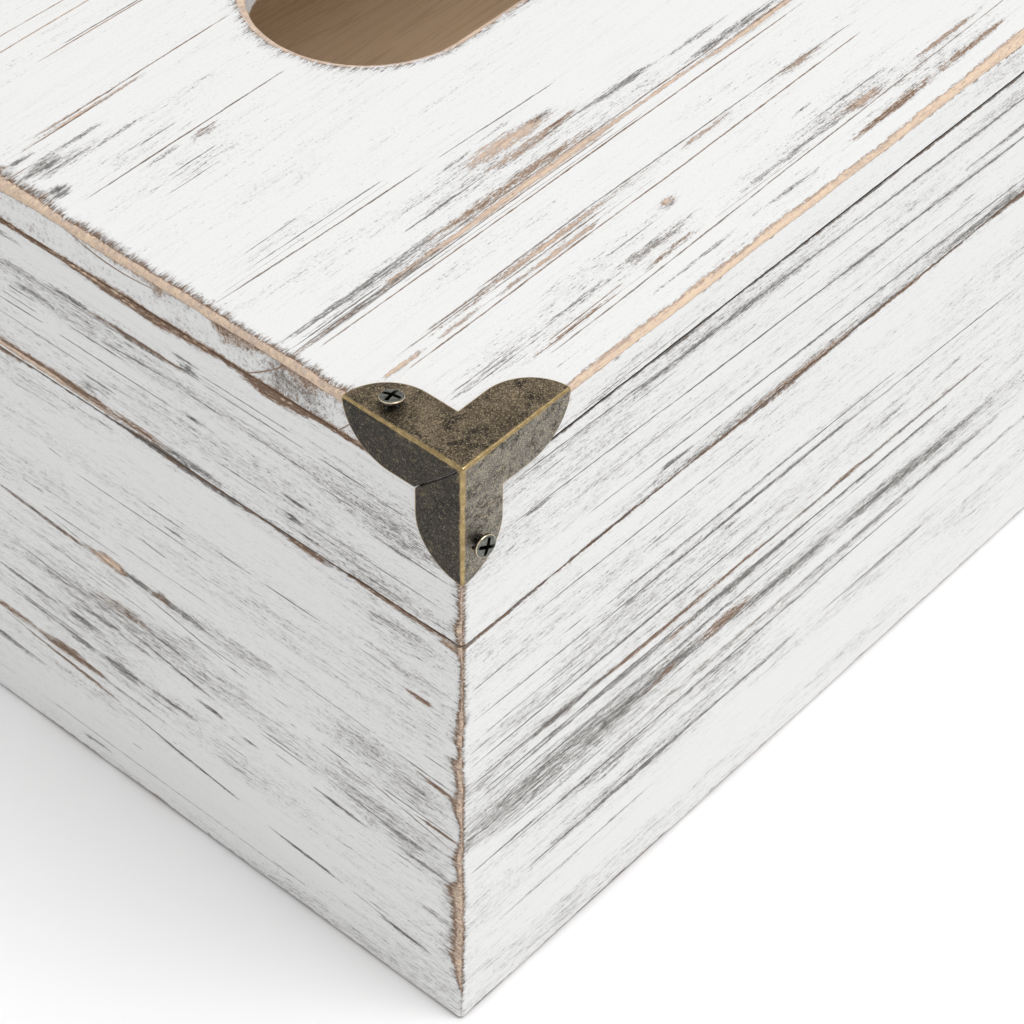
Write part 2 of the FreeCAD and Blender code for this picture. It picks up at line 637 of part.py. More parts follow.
# ---------------------------------------------------------------- check and write
doc.recompute()
for obj in doc.Objects:
    state = list(obj.State)
    if "Invalid" in state or "Error" in state:
        raise RuntimeError("%s is %s" % (obj.Name, state))
labels = [p.Label for p in parts]
if len(set(labels)) != len(labels):
    raise RuntimeError("two sub-parts share a label")
for p in parts:
    if p.Shape.isNull() or not p.Shape.isValid() or not p.Shape.Solids:
        raise RuntimeError("%s has no valid solid" % p.Label)
os.makedirs("parts", exist_ok=True)
for p in parts:
    p.Shape.exportStep("parts/%s.step" % p.Label)
    b = p.Shape.BoundBox
    print("%-28s solids %2d  volume %10.1f  x %7.1f %7.1f  y %6.1f %6.1f  z %6.1f %6.1f" % (
        p.Label, len(p.Shape.Solids), p.Shape.Volume, b.XMin, b.XMax, b.YMin, b.YMax, b.ZMin, b.ZMax))
print("%d sub-parts" % len(parts))
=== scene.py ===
import math

import bmesh
import bpy
import numpy as np
from mathutils import Matrix, Vector
from mathutils.geometry import delaunay_2d_cdt


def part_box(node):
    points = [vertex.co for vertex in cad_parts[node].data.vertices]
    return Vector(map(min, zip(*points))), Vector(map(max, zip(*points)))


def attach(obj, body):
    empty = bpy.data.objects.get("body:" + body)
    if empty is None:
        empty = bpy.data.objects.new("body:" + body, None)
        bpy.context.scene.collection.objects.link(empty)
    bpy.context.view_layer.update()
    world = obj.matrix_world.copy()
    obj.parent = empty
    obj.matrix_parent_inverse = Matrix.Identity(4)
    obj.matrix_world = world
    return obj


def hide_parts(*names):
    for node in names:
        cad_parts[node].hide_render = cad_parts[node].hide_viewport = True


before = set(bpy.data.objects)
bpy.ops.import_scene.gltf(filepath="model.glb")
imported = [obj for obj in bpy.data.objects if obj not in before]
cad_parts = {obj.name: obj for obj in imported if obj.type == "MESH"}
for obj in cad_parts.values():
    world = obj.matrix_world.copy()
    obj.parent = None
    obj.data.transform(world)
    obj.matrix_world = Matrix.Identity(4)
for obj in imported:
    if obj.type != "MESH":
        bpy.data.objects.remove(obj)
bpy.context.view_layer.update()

# Lengths below are in millimetres in the row frame, and become metres when a mesh is made.
HALF_X, HALF_Y, HIGH = 133.0, 80.0, 115.0
BOARD, JOINT, SEAM, BASE = 7.0, 82.0, 0.2, 5.0
LEG = 21.0                       # bracket leg, the yardstick of the listed marks
APEX = (133.7, 80.7, 115.7)      # outer corner of a bracket


# ------------------------------------------------------------------ noise in numpy
_tables = {}


def table(seed):
    if seed not in _tables:
        _tables[seed] = np.random.RandomState(seed).rand(256, 256)
    return _tables[seed]


def wave(seed, x, size):
    """Smooth random values 0..1 along a line, one knot each size mm."""
    x = np.asarray(x, float) / size + 97.3
    i = np.floor(x).astype(int)
    f = x - i
    f = f * f * (3 - 2 * f)
    r = table(seed).ravel()
    return r[i % 65536] * (1 - f) + r[(i + 1) % 65536] * f


def waves(seed, x, size, octaves=3, fall=0.5):
    total, weight, gain = 0.0, 0.0, 1.0
    for k in range(octaves):
        total = total + gain * wave(seed + k, x, size / 2 ** k)
        weight += gain
        gain *= fall
    return total / weight


def field(seed, x, y, sx, sy, octaves=3, fall=0.5):
    """Smooth random values 0..1 over a plane."""
    total, weight, gain = 0.0, 0.0, 1.0
    for k in range(octaves):
        r = table(seed + k)
        u = np.asarray(x, float) / sx * 2 ** k + 53.1
        v = np.asarray(y, float) / sy * 2 ** k + 71.7
        i, j = np.floor(u).astype(int), np.floor(v).astype(int)
        f, g = u - i, v - j
        f, g = f * f * (3 - 2 * f), g * g * (3 - 2 * g)
        i0, i1, j0, j1 = i % 256, (i + 1) % 256, j % 256, (j + 1) % 256
        value = (r[i0, j0] * (1 - f) + r[i1, j0] * f) * (1 - g) + (r[i0, j1] * (1 - f) + r[i1, j1] * f) * g
        total = total + gain * value
        weight += gain
        gain *= fall
    return total / weight


# ------------------------------------------------------------------ wear marks
FAR = 9.0


class Marks:
    """Worn places on one face. s runs along the grain and t across it, in mm.
    Wear: under 0 sound paint, 0.5 worn through in dashes, over 1 worn off.
    Bare: 0 grey stain, 0.4 brown stain, 1 down to the clean wood.
    Thin lines are kept as distances, so that they stay thin between the rows of the mesh."""

    def __init__(self, seed, ground=-0.2, spread=0.3):
        self.seed, self.ground, self.spread = seed, ground, spread
        self.bands, self.spots, self.zones, self.cracks = [], [], [], []

    def crack(self, s0, t0, s1, t1, strength=0.8, tone=0.15):
        if s1 < s0:
            s0, t0, s1, t1 = s1, t1, s0, t0
        self.cracks.append((s0, t0, s1, t1, strength, tone))

    def band(self, s0, t0, s1, t1, w=0.4, d=0.9, b=0.15):
        if s1 < s0:
            s0, t0, s1, t1 = s1, t1, s0, t0
        self.bands.append((s0, t0, s1, t1, w, d, b))

    def spot(self, s, t, ls, lt, d=0.75, b=0.3, slope=0.0):
        self.spots.append((s, t, ls, lt, d, b, slope))

    def zone(self, s, t, ls, lt, d=0.2):
        """A soft area that only lifts the ground, so it shows as thin scattered dashes."""
        self.zones.append((s, t, ls, lt, d))

    def read(self, S, T):
        seed = self.seed
        ground = self.ground + self.spread * 3.0 * (field(seed + 900, S, T, 34, 4.5, 3) - 0.5)
        for (s, t, ls, lt, d) in self.zones:
            r2 = ((S - s) / ls) ** 2 + ((T - t) / lt) ** 2
            ground = ground + d * np.clip(1.1 - r2, 0, 1)
        wear = ground
        bare = np.full(S.shape, 0.12)
        for k, (s0, t0, s1, t1, w, d, b) in enumerate(self.bands):
            if not ((S > s0 - 1) & (S < s1 + 1)).any():
                continue
            u = (S - s0) / (s1 - s0)
            middle = t0 + (t1 - t0) * u + 0.25 * (wave(seed + 31 * k, S, 23) - 0.5)
            end = np.clip(np.minimum(S - s0, s1 - S) / (0.25 * (s1 - s0)), 0, 1) ** 0.7
            width = w * (0.6 + 0.8 * waves(seed + 31 * k + 3, S, 12, 3, 0.6)) * (0.5 + 0.5 * end)
            top = d * (0.82 + 0.36 * waves(seed + 31 * k + 7, S, 15, 2)) - 0.45 * (1 - end)
            profile = np.clip(1.45 - np.abs(T - middle) / width, 0, 1)
            value = np.where(end > 0, ground + (top - ground) * profile, -1)
            bare = np.where((value > wear) & (profile > 0.1), b, bare)
            wear = np.maximum(wear, value)
        for k, (s, t, ls, lt, d, b, slope) in enumerate(self.spots):
            v = (T - t - slope * (S - s)) / lt
            u = (S - s) / ls
            rough = field(seed + 7000 + 13 * k, S, T, max(2.0, ls * 0.35), max(0.5, lt * 0.45), 3, 0.65) - 0.5
            r2 = u * u + v * v + 1.6 * rough
            profile = np.clip(1.2 - r2, 0, 1)
            value = np.where(profile > 0, ground + (d - ground) * profile + 0.25 * rough, -1)
            bare = np.where((value > wear) & (profile > 0.1), b, bare)
            wear = np.maximum(wear, value)
        cracks = np.zeros(S.shape + (6,))
        for group in (0, 1):
            best = np.full(S.shape, FAR)
            strength, tone = np.zeros(S.shape), np.full(S.shape, 0.15)
            which = np.full(S.shape, -1)
            for k, (s0, t0, s1, t1, power, shade) in enumerate(self.cracks):
                if k % 2 != group or not ((S > s0 - 9) & (S < s1 + 9)).any():
                    continue
                u = (S - s0) / (s1 - s0)
                path = t0 + (t1 - t0) * u + 0.20 * (waves(seed + 17 * k + 5000, S, 26, 2) - 0.5)
                end = np.clip(np.minimum(S - s0, s1 - S) / min(9.0, 0.3 * (s1 - s0)), 0, 1)
                here = power * (0.70 + 0.6 * waves(seed + 17 * k + 5003, S, 14, 3, 0.6)) * end
                d = T - path
                take = (np.abs(d) < np.abs(best)) & (u > -0.2) & (u < 1.2)
                best = np.where(take, d, best)
                strength, tone = np.where(take, here, strength), np.where(take, shade, tone)
                which = np.where(take, k, which)
            # A line fades out where the next one along takes over.
            for axis in range(S.ndim):
                change = (np.diff(which, axis=axis) != 0) & (np.abs(np.diff(S, axis=axis)) > np.abs(np.diff(T, axis=axis)))
                for side in ((1, 0), (0, 1)):
                    pad = [(0, 0)] * S.ndim
                    pad[axis] = side
                    strength = np.where(np.pad(change, pad), 0, strength)
            strength = strength * np.clip((1.3 - np.abs(best)) / 0.4, 0, 1)
            cracks[..., 3 * group], cracks[..., 3 * group + 1], cracks[..., 3 * group + 2] = best, strength, tone
        return wear, bare, cracks


def scatter(marks, seed, s0, s1, t0, t1, slope=0.0, lines=1.0, spots=1.0, tone=0.0):
    """Marks of the same kinds and sizes, strewn at random over the part of a face."""
    r = np.random.RandomState(seed)
    high, long = t1 - t0, s1 - s0
    area = high * long / 1000.0
    for _ in range(int(round(area * 2.6 * lines))):
        length = long * r.uniform(0.12, 0.8) if r.rand() < 0.55 else r.uniform(8, 35)
        length = min(length, long)
        a = r.uniform(s0 - 4, s1 - length * 0.8)
        t = r.uniform(t0, t1)
        marks.crack(a, t, a + length, t + slope * length + r.uniform(-0.3, 0.3), r.uniform(0.35, 1.0),
                    r.choice([0.1, 0.15, 0.2, 0.4]) + tone)
    for _ in range(int(round(area * 0.9 * spots))):
        length = r.uniform(8, 40)
        t = r.uniform(t0, t1)
        a = r.uniform(s0, s1)
        marks.band(a - length, t, a + length, t + 2 * length * slope, r.uniform(0.3, 0.8), r.uniform(0.45, 0.95), r.choice([0.1, 0.15, 0.3, 0.45]) + tone)
    for _ in range(int(round(area * 0.75 * spots))):
        length = r.uniform(5, 24)
        marks.spot(r.uniform(s0, s1), r.uniform(t0, t1), length, r.uniform(0.5, 1.6) * (0.6 + length / 30),
                   r.uniform(0.35, 0.85), r.choice([0.1, 0.2, 0.4, 0.5]) + tone, slope)
    for _ in range(int(round(area * 0.35))):
        marks.zone(r.uniform(s0, s1), r.uniform(t0, t1), r.uniform(15, 50), r.uniform(3, 9), r.uniform(0.1, 0.28))


def rubbed(e, reach, top=1.5, crisp=0.0):
    """Wear near an arris, at a distance e from it, and how bare the wood is there.
    crisp: 0 for paint that thins out, 1 for paint broken off along a line."""
    f = e / np.maximum(reach, 0.05)
    wear = top * (1 - f) * (1 - crisp) + crisp * np.clip(top - 2.6 * np.maximum(e - 0.62 * reach, 0), -0.5, top)
    bare = 0.95 - 0.65 * np.clip((f - 0.30) / 0.45, 0, 1)
    return wear, bare


# ------------------------------------------------------------------ mesh building
def rounding(e, r):
    """How far a surface drops at a distance e from an edge eased with radius r."""
    e, r = np.broadcast_arrays(np.asarray(e, float), np.asarray(r, float))
    inside = np.clip(r - e, 0, r)
    return r - np.sqrt(np.clip(r * r - inside * inside, 0, None))


class Shell:
    """A closed mesh put together from grids that share their border vertices."""

    def __init__(self):
        self.points, self.coats, self.faces, self.slots = [], [], [], []
        self.count = 0

    def add(self, points, wear=0.0, bare=0.2, rag=0.0, cracks=None):
        points = np.asarray(points, float).reshape(-1, 3)
        n = len(points)
        data = np.zeros((n, 9))
        for k, value in enumerate((wear, bare, rag)):
            data[:, k] = np.asarray(value, float).ravel() if np.ndim(value) else value
        if cracks is None:
            data[:, 3] = data[:, 6] = FAR
        else:
            data[:, 3:] = np.asarray(cracks).reshape(n, 6)
        self.points.append(points)
        self.coats.append(data)
        first = self.count
        self.count += n
        return np.arange(first, first + n)

    def quads(self, grid, slot=0, flip=False):
        """Quads between the rows of a grid of vertex numbers."""
        a, b, c, d = grid[:-1, :-1], grid[:-1, 1:], grid[1:, 1:], grid[1:, :-1]
        order = (a, d, c, b) if flip else (a, b, c, d)
        faces = np.stack([x.ravel() for x in order], axis=1)
        self.faces += faces.tolist()
        self.slots += [slot] * len(faces)

    def face(self, numbers, slot=0, flip=False):
        numbers = [int(n) for n in numbers]
        self.faces.append(numbers[::-1] if flip else numbers)
        self.slots.append(slot)

    def finish(self, name, body, nodes, materials, grain="X", shift=(0, 0, 0), slope=None, sharp=38):
        points = np.concatenate(self.points)
        mesh = bpy.data.meshes.new(name)
        mesh.from_pydata((points * 0.001).tolist(), [], self.faces)
        order = points[:, [0, 1, 2]] if grain == "X" else (points[:, [1, 0, 2]] if grain == "Y" else points[:, [2, 0, 1]])
        order = order.copy()
        if slope is not None:
            order[:, 2] -= slope(order[:, 0], order[:, 2])
        order += np.asarray(shift, float)
        mesh.attributes.new("grain", "FLOAT_VECTOR", "POINT").data.foreach_set("vector", order.ravel())
        coats = np.concatenate(self.coats)
        for k, label in enumerate(("state", "crack", "crack_b")):
            mesh.attributes.new(label, "FLOAT_VECTOR", "POINT").data.foreach_set("vector", coats[:, 3 * k:3 * k + 3].ravel())
        for m in materials:
            mesh.materials.append(m)
        mesh.polygons.foreach_set("material_index", self.slots)
        mesh.polygons.foreach_set("use_smooth", [True] * len(self.faces))
        mesh.update()
        tidy = bmesh.new()
        tidy.from_mesh(mesh)
        bmesh.ops.recalc_face_normals(tidy, faces=tidy.faces)
        tidy.to_mesh(mesh)
        tidy.free()
        mesh.set_sharp_from_angle(angle=math.radians(sharp))
        return put(name, mesh, body, nodes)


def put(name, mesh, body, nodes):
    piece = bpy.data.objects.new(name, mesh)
    bpy.context.scene.collection.objects.link(piece)
    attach(piece, body)
    if nodes:
        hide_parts(*nodes)
    return piece


NEAR = np.array([0, 0.03, 0.08, 0.15, 0.24, 0.35, 0.48, 0.63, 0.8, 1.0, 1.25, 1.5, 1.75, 2.0, 2.3, 2.6, 3.0, 3.4])
NEAR_SEAM = np.array([0, 0.04, 0.10, 0.18, 0.28, 0.40, 0.55, 0.75])


def evenly(a, b, step):
    return np.linspace(a, b, max(2, int(round((b - a) / step)) + 1))


def stations(length, step, near0, near1, grow=1.28):
    """Positions along an edge: close together near the ends, even in the middle."""
    def run(near):
        out = list(near)
        gap = max(out[-1] - out[-2], 0.1)
        while gap * grow < step:
            gap *= grow
            out.append(out[-1] + gap)
        return np.array(out)
    a, b = run(near0), run(near1)
    middle = evenly(a[-1], length - b[-1], step)
    return np.concatenate([a[:-1], middle, (length - b[:-1])[::-1]])


def plank(name, body, grain, outer, inward, s0, s1, t0, t1, marks, rows=0.25, columns=3.2,
          ends=("mitre", "mitre"), corner=None, low=0.3, top=0.3, low_wear=None, top_wear=None,
          shift=(0, 0, 0), slope=None, deep=BOARD, materials=None, nodes=None, relief=0.07):
    """A board whose worn outer face is a fine sheet. Its back is plain.
    corner: for each end, its radius and the reach of its wear, as functions of t."""
    length, height = s1 - s0, t1 - t0
    cols = stations(length, columns, NEAR, NEAR)
    tt = stations(height, rows, NEAR_SEAM if low < 0.45 else NEAR[:11], NEAR_SEAM if top < 0.45 else NEAR[:11], 1.6)
    n, m = len(cols), len(tt)
    S, T = np.meshgrid(s0 + cols, t0 + tt)
    e_low, e_top = T - t0, t1 - T
    seed = marks.seed

    # Rounding and chips along the two long edges.
    def edge(e, base, salt):
        ease = base * (0.65 + 0.7 * waves(seed + salt, S, 9, 3, 0.6))
        return ease, rounding(e, ease)
    ease_low, h_low = edge(e_low, low, 41)
    ease_top, h_top = edge(e_top, top, 43)

    wear, bare, cracks = marks.read(S, T)
    rag = np.zeros(S.shape)

    def long_edge(e, spec, salt):
        nonlocal wear, bare, rag
        if spec is None:
            return
        reach, tone = spec[0](S), spec[1]
        tone = tone * (0.35 + 1.15 * waves(seed + salt + 3, S, 13, 3, 0.6)) if tone < 0.40 else tone
        reach = reach * (0.35 + 1.3 * waves(seed + salt, S, 11, 4, 0.65))
        value, worn_bare = rubbed(e, 1.35 * reach, 1.45, 0.7)
        bare = np.where(value > wear, np.minimum(worn_bare, tone), bare)
        wear = np.maximum(wear, value)
        rag = np.maximum(rag, 0.45 * np.clip(1.2 - e / (reach + 0.8), 0, 1))
    long_edge(e_low, low_wear, 51)
    long_edge(e_top, top_wear, 57)

    # Ends. A mitred end keeps to the mitre plane, so that two boards meet in one line.
    e0, e1 = S - s0, s1 - S
    h_end = np.zeros(S.shape)
    for side, (kind, e) in enumerate(zip(ends, (e0, e1))):
        radius, width = corner[side]
        r = radius(T)
        if kind == "mitre":
            start = r * (1 - 1 / math.sqrt(2))
            real = e + start * np.clip(1 - e / 3.0, 0, 1)
            h_end = np.maximum(h_end, rounding(real, r))
            S = np.where(e < 3.0, (s0 + real) if side == 0 else (s1 - real), S)
            e = real
        else:
            h_end = np.maximum(h_end, rounding(e, r))
        reach = width(T)
        value, worn_bare = rubbed(e, reach, 1.25, 0.35)
        value = np.maximum(value, 0.80 - 0.62 * e / (reach + 0.15))
        bare = np.where(value > wear, worn_bare * 0.60, bare)
        wear = np.maximum(wear, value)
        rag = np.maximum(rag, 0.4 * np.clip(1.2 - e / (reach + 0.8), 0, 1))

    drop = np.minimum(h_low + h_top, 1.2) + h_end + relief * np.clip(wear - 0.55, 0, 0.6) / 0.6
    for side, kind in enumerate(ends):
        if kind == "mitre":
            k = 0 if side == 0 else -1
            S[:, k] = (s0 + drop[:, k]) if side == 0 else (s1 - drop[:, k])

    def where(s, t, h):
        s, t, h = np.broadcast_arrays(s, t, h)
        across = outer + inward * h
        return np.stack([s, across, t] if grain == "X" else [across, s, t], axis=-1)

    shell = Shell()
    grid = shell.add(where(S, T, drop), wear.ravel(), bare.ravel(), rag.ravel(), cracks).reshape(m, n)
    shell.quads(grid)

    # The way round: four borders from the sheet to the back.
    in0 = deep if ends[0] == "mitre" else 0.0
    in1 = deep if ends[1] == "mitre" else 0.0
    back_s = s0 + in0 + cols * (length - in0 - in1) / length
    back_low = shell.add(where(back_s, t0 + 0.25, deep), 0.9, 0.9)
    back_top = shell.add(where(back_s, t1 - 0.25, deep), 0.9, 0.9)
    inner_t = t0 + tt[1:-1]
    back_0 = shell.add(where(s0 + in0, inner_t, deep), 0.9, 0.9)
    back_1 = shell.add(where(s1 - in1, inner_t, deep), 0.9, 0.9)
    left = np.concatenate([[back_low[0]], back_0, [back_top[0]]])
    right = np.concatenate([[back_low[-1]], back_1, [back_top[-1]]])

    # Both strips that meet at a corner share the points between its outer and inner end.
    steps = 18 if "square" in ends else 3
    shares = np.arange(1, steps) / steps
    spots = np.concatenate(shell.points)

    def between(outside, inside):
        a, b = spots[outside], spots[inside]
        return shell.add(a + (b - a) * shares[:, None], 0.6, 0.6, 0.3)
    corner_lines = {(u, v): between(grid[u, v], (back_low if u == 0 else back_top)[v]) for u in (0, -1) for v in (0, -1)}

    def strip(outside, inside, first, last, slot, coat):
        """Rows between an edge of the sheet and the matching edge of the back."""
        a, b = spots[outside[1:-1]], spots[inside[1:-1]]
        rows_here = [outside]
        for k, f in enumerate(shares):
            p = a + (b - a) * f
            made = shell.add(p, *coat(p, f))
            rows_here.append(np.concatenate([[corner_lines[first][k]], made, [corner_lines[last][k]]]))
        rows_here.append(inside)
        shell.quads(np.array(rows_here), slot)

    def hidden(p, f):
        return 0.7, 0.6, 0.3

    def end_grain(p, f):
        tz, depth_mm = p[:, 2], deep * f
        value = 0.15 + 0.9 * (field(seed + 71, tz, tz * 0 + depth_mm, 9, 1.4, 3) - 0.5)
        near_arris, _ = rubbed(depth_mm, 1.2 + 1.6 * waves(seed + 73, tz, 7, 3))
        return np.maximum(value, near_arris), np.where(near_arris > value, 0.8, 0.45), 0.5
    strip(grid[0], back_low, (0, 0), (0, -1), 1, hidden)
    strip(grid[-1], back_top, (-1, 0), (-1, -1), 1, hidden)
    strip(grid[:, 0], left, (0, 0), (-1, 0), *((1, hidden) if ends[0] == "mitre" else (2, end_grain)))
    strip(grid[:, -1], right, (0, -1), (-1, -1), *((1, hidden) if ends[1] == "mitre" else (2, end_grain)))
    # The back: one long quad for each row, with the first and last taking the columns in.
    shell.face(list(back_low) + [right[1], left[1]], 1)
    for k in range(1, len(left) - 2):
        shell.face([left[k], right[k], right[k + 1], left[k + 1]], 1)
    shell.face([left[-2], right[-2]] + list(back_top[::-1]), 1)
    return shell.finish(name, body, nodes, materials, grain, shift, slope)


# ------------------------------------------------------------------ materials
class Paint:
    """Short ways to write a node tree."""

    def __init__(self, name):
        self.material = bpy.data.materials.new(name)
        self.material.use_nodes = True
        self.tree = self.material.node_tree
        self.tree.nodes.clear()
        out = self.tree.nodes.new("ShaderNodeOutputMaterial")
        self.shader = self.tree.nodes.new("ShaderNodeBsdfPrincipled")
        self.tree.links.new(self.shader.outputs[0], out.inputs[0])

    def node(self, kind, **settings):
        n = self.tree.nodes.new(kind)
        for key, value in settings.items():
            setattr(n, key, value)
        return n

    def feed(self, socket, value):
        if isinstance(value, bpy.types.NodeSocket):
            self.tree.links.new(value, socket)
        elif value is not None:
            if isinstance(value, (tuple, list)) and socket.type == "RGBA" and len(value) == 3:
                value = (*value, 1.0)
            socket.default_value = value

    def math(self, operation, a, b=None, c=None, clamp=False):
        n = self.node("ShaderNodeMath", operation=operation, use_clamp=clamp)
        for socket, value in zip(n.inputs, (a, b, c)):
            self.feed(socket, value)
        return n.outputs[0]

    def add(self, *values):
        total = values[0]
        for v in values[1:]:
            total = self.math("ADD", total, v)
        return total

    def times(self, a, b):
        return self.math("MULTIPLY", a, b)

    def off(self, a, amount):
        """(a - 0.5) * amount"""
        n = self.node("ShaderNodeMath", operation="MULTIPLY_ADD")
        self.feed(n.inputs[0], a)
        n.inputs[1].default_value = amount
        n.inputs[2].default_value = -0.5 * amount
        return n.outputs[0]

    def step(self, x, a, b, low=0.0, high=1.0):
        n = self.node("ShaderNodeMapRange", interpolation_type="SMOOTHSTEP", clamp=True)
        for socket, value in zip(n.inputs, (x, a, b, low, high)):
            self.feed(socket, value)
        return n.outputs[0]

    def mix(self, fac, a, b, blend="MIX"):
        n = self.node("ShaderNodeMix", data_type="RGBA", blend_type=blend, clamp_factor=True)
        self.feed(n.inputs[0], fac)
        self.feed(n.inputs[6], a)
        self.feed(n.inputs[7], b)
        return n.outputs[2]

    def scaled(self, vector, scale, offset=(0, 0, 0)):
        n = self.node("ShaderNodeVectorMath", operation="MULTIPLY_ADD")
        self.feed(n.inputs[0], vector)
        n.inputs[1].default_value = scale
        n.inputs[2].default_value = offset
        return n.outputs[0]

    def noise(self, vector, scale=(1, 1, 1), detail=2.0, rough=0.5, offset=(0, 0, 0), twist=0.0):
        n = self.node("ShaderNodeTexNoise")
        self.feed(n.inputs["Vector"], self.scaled(vector, scale, offset))
        n.inputs["Scale"].default_value = 1.0
        n.inputs["Detail"].default_value = detail
        n.inputs["Roughness"].default_value = rough
        n.inputs["Distortion"].default_value = twist
        return n.outputs["Fac"]

    def attribute(self, name):
        return self.node("ShaderNodeAttribute", attribute_name=name).outputs["Vector"]

    def split(self, vector):
        n = self.node("ShaderNodeSeparateXYZ")
        self.feed(n.inputs[0], vector)
        return n.outputs[0], n.outputs[1], n.outputs[2]

    def ramp(self, fac, stops, kind="LINEAR"):
        n = self.node("ShaderNodeValToRGB")
        self.feed(n.inputs[0], fac)
        n.color_ramp.interpolation = kind
        while len(n.color_ramp.elements) < len(stops):
            n.color_ramp.elements.new(0.5)
        for element, (place, colour) in zip(n.color_ramp.elements, stops):
            element.position = place
            element.color = (*colour, 1.0)
        return n.outputs[0]

    def bump(self, height, distance, strength=1.0):
        n = self.node("ShaderNodeBump")
        n.inputs["Strength"].default_value = strength
        n.inputs["Distance"].default_value = distance
        self.feed(n.inputs["Height"], height)
        return n.outputs["Normal"]

    def done(self, colour, rough, normal=None, metallic=0.0, specular=0.5):
        self.feed(self.shader.inputs["Base Color"], colour)
        self.feed(self.shader.inputs["Roughness"], rough)
        self.feed(self.shader.inputs["Metallic"], metallic)
        self.shader.inputs["Specular IOR Level"].default_value = specular
        if normal is not None:
            self.feed(self.shader.inputs["Normal"], normal)
        return self.material


def whitewash(name, endgrain=False):
    """White paint brushed thin over stained wood, rubbed through along the grain in short thin dashes."""
    p = Paint(name)
    g = p.attribute("grain")
    wear, bare, rag = p.split(p.attribute("state"))
    fibre = p.noise(g, (0.5, 4.6, 4.6), 2.0, 0.6)
    speck = p.noise(g, (1.8, 7.0, 7.0), 1.0, 0.6, (31, 5, 12))
    strand = p.noise(g, (0.075, 1.45, 1.45), 3.0, 0.6, (9, 4, 2))
    broad = p.noise(g, (0.016, 0.22, 0.22), 2.0, 0.5, (3, 31, 17))
    lump = p.noise(g, (1.1, 1.6, 1.6), 2.0, 0.6, (13, 1, 7))
    hair = p.noise(g, (0.009, 0.9, 0.9), 1.0, 0.5, (23, 8, 3))
    thin = p.step(p.math("ABSOLUTE", p.off(hair, 1.0)), 0.0, 0.010, 1.0, 0.0)
    grit = p.noise(g, (3.4, 9.0, 9.0), 1.0, 0.7, (41, 15, 2))
    flake = p.node("ShaderNodeTexVoronoi", feature="F1")
    p.feed(flake.inputs["Vector"], p.scaled(g, (0.62, 1.05, 1.05), (4, 14, 6)))
    flake.inputs["Scale"].default_value = 1.0
    flake = p.times(p.step(flake.outputs["Distance"], 0.26, 0.50, 1.0, 0.0), rag)
    size = 0.72 if endgrain else 1.0
    jitter = p.add(p.off(fibre, 2.2 * size), p.off(speck, 1.6 * size), p.off(strand, 1.2 * size))
    exposed = p.add(wear, jitter, p.off(broad, 0.6), p.times(p.off(lump, 1.5), rag), p.times(flake, 0.85),
                    p.times(thin, p.step(broad, 0.42, 0.62, 0.05, 0.40)))
    tone = p.math("MINIMUM", p.add(bare, p.times(flake, 0.22)), p.math("MAXIMUM", bare, 0.37))
    for which in ("crack", "crack_b"):
        gap, power, shade = p.split(p.attribute(which))
        width = p.add(0.03, p.times(power, 0.10), p.off(fibre, 0.22))
        line = p.step(p.math("SUBTRACT", p.math("ABSOLUTE", gap), width), -0.02, 0.06, 1.0, 0.0)
        line = p.times(line, p.step(p.add(power, p.off(strand, 1.2)), 0.12, 0.32))
        level = p.times(line, p.add(0.62, p.times(power, 0.35), p.times(jitter, 0.35)))
        tone = p.add(tone, p.times(line, p.math("SUBTRACT", shade, tone)))
        exposed = p.math("MAXIMUM", exposed, level)
    gone = p.step(exposed, 0.48, 0.58)
    depth = p.step(exposed, 0.48, 1.12)
    wood = p.step(p.add(p.times(exposed, p.times(p.math("SUBTRACT", tone, 0.25), 1.9)), p.off(strand, 0.35)), 0.48, 0.77)
    # The stain: grey, or brown where the wood was oiled by hands.
    grey = p.mix(depth, (0.45, 0.435, 0.42), (0.135, 0.13, 0.125))
    brown = p.mix(depth, (0.52, 0.41, 0.335), (0.170, 0.102, 0.064))
    stain = p.mix(p.step(p.add(tone, p.off(strand, 0.3)), 0.18, 0.42), grey, brown)
    # Clean wood, with a painted highlight where the wear is deepest, along the arrises.
    clean = p.mix(p.step(strand, 0.34, 0.66), (0.55, 0.42, 0.34), (0.70, 0.53, 0.41))
    clean = p.mix(p.step(lump, 0.42, 0.68, 0.0, 0.50), clean, (0.37, 0.285, 0.225))
    # Painted highlight: the palest wood colour goes on the most worn places, the rounded arrises.
    clean = p.mix(p.step(exposed, 1.22, 1.60, 0.0, 0.65), clean, (0.80, 0.63, 0.455))
    clean = p.mix(p.step(fibre, 0.60, 0.78, 0.0, 0.34), clean, (0.27, 0.165, 0.10))
    under = p.mix(wood, stain, clean)
    # Paint: greyer where it is thin, with the grain showing faintly.
    white = p.mix(p.step(exposed, -0.50, 0.50), (0.955, 0.955, 0.952), (0.65, 0.645, 0.638))
    white = p.mix(p.step(speck, 0.42, 0.70, 0.0, 0.26), white, (0.66, 0.655, 0.648))
    white = p.mix(p.step(strand, 0.50, 0.68, 0.0, 0.13), white, (0.60, 0.597, 0.59))
    white = p.mix(p.step(grit, 0.50, 0.74, 0.0, 0.12), white, (0.62, 0.615, 0.608))
    colour = p.mix(gone, white, under)
    rough = p.add(p.step(gone, 0.0, 1.0, 0.56, 0.78), p.off(fibre, 0.18), p.off(broad, 0.12))
    height = p.add(p.times(gone, -0.9), p.off(fibre, 0.45), p.off(strand, 0.65))
    return p.done(colour, rough, p.bump(height, 0.00008, 0.7), specular=0.35)


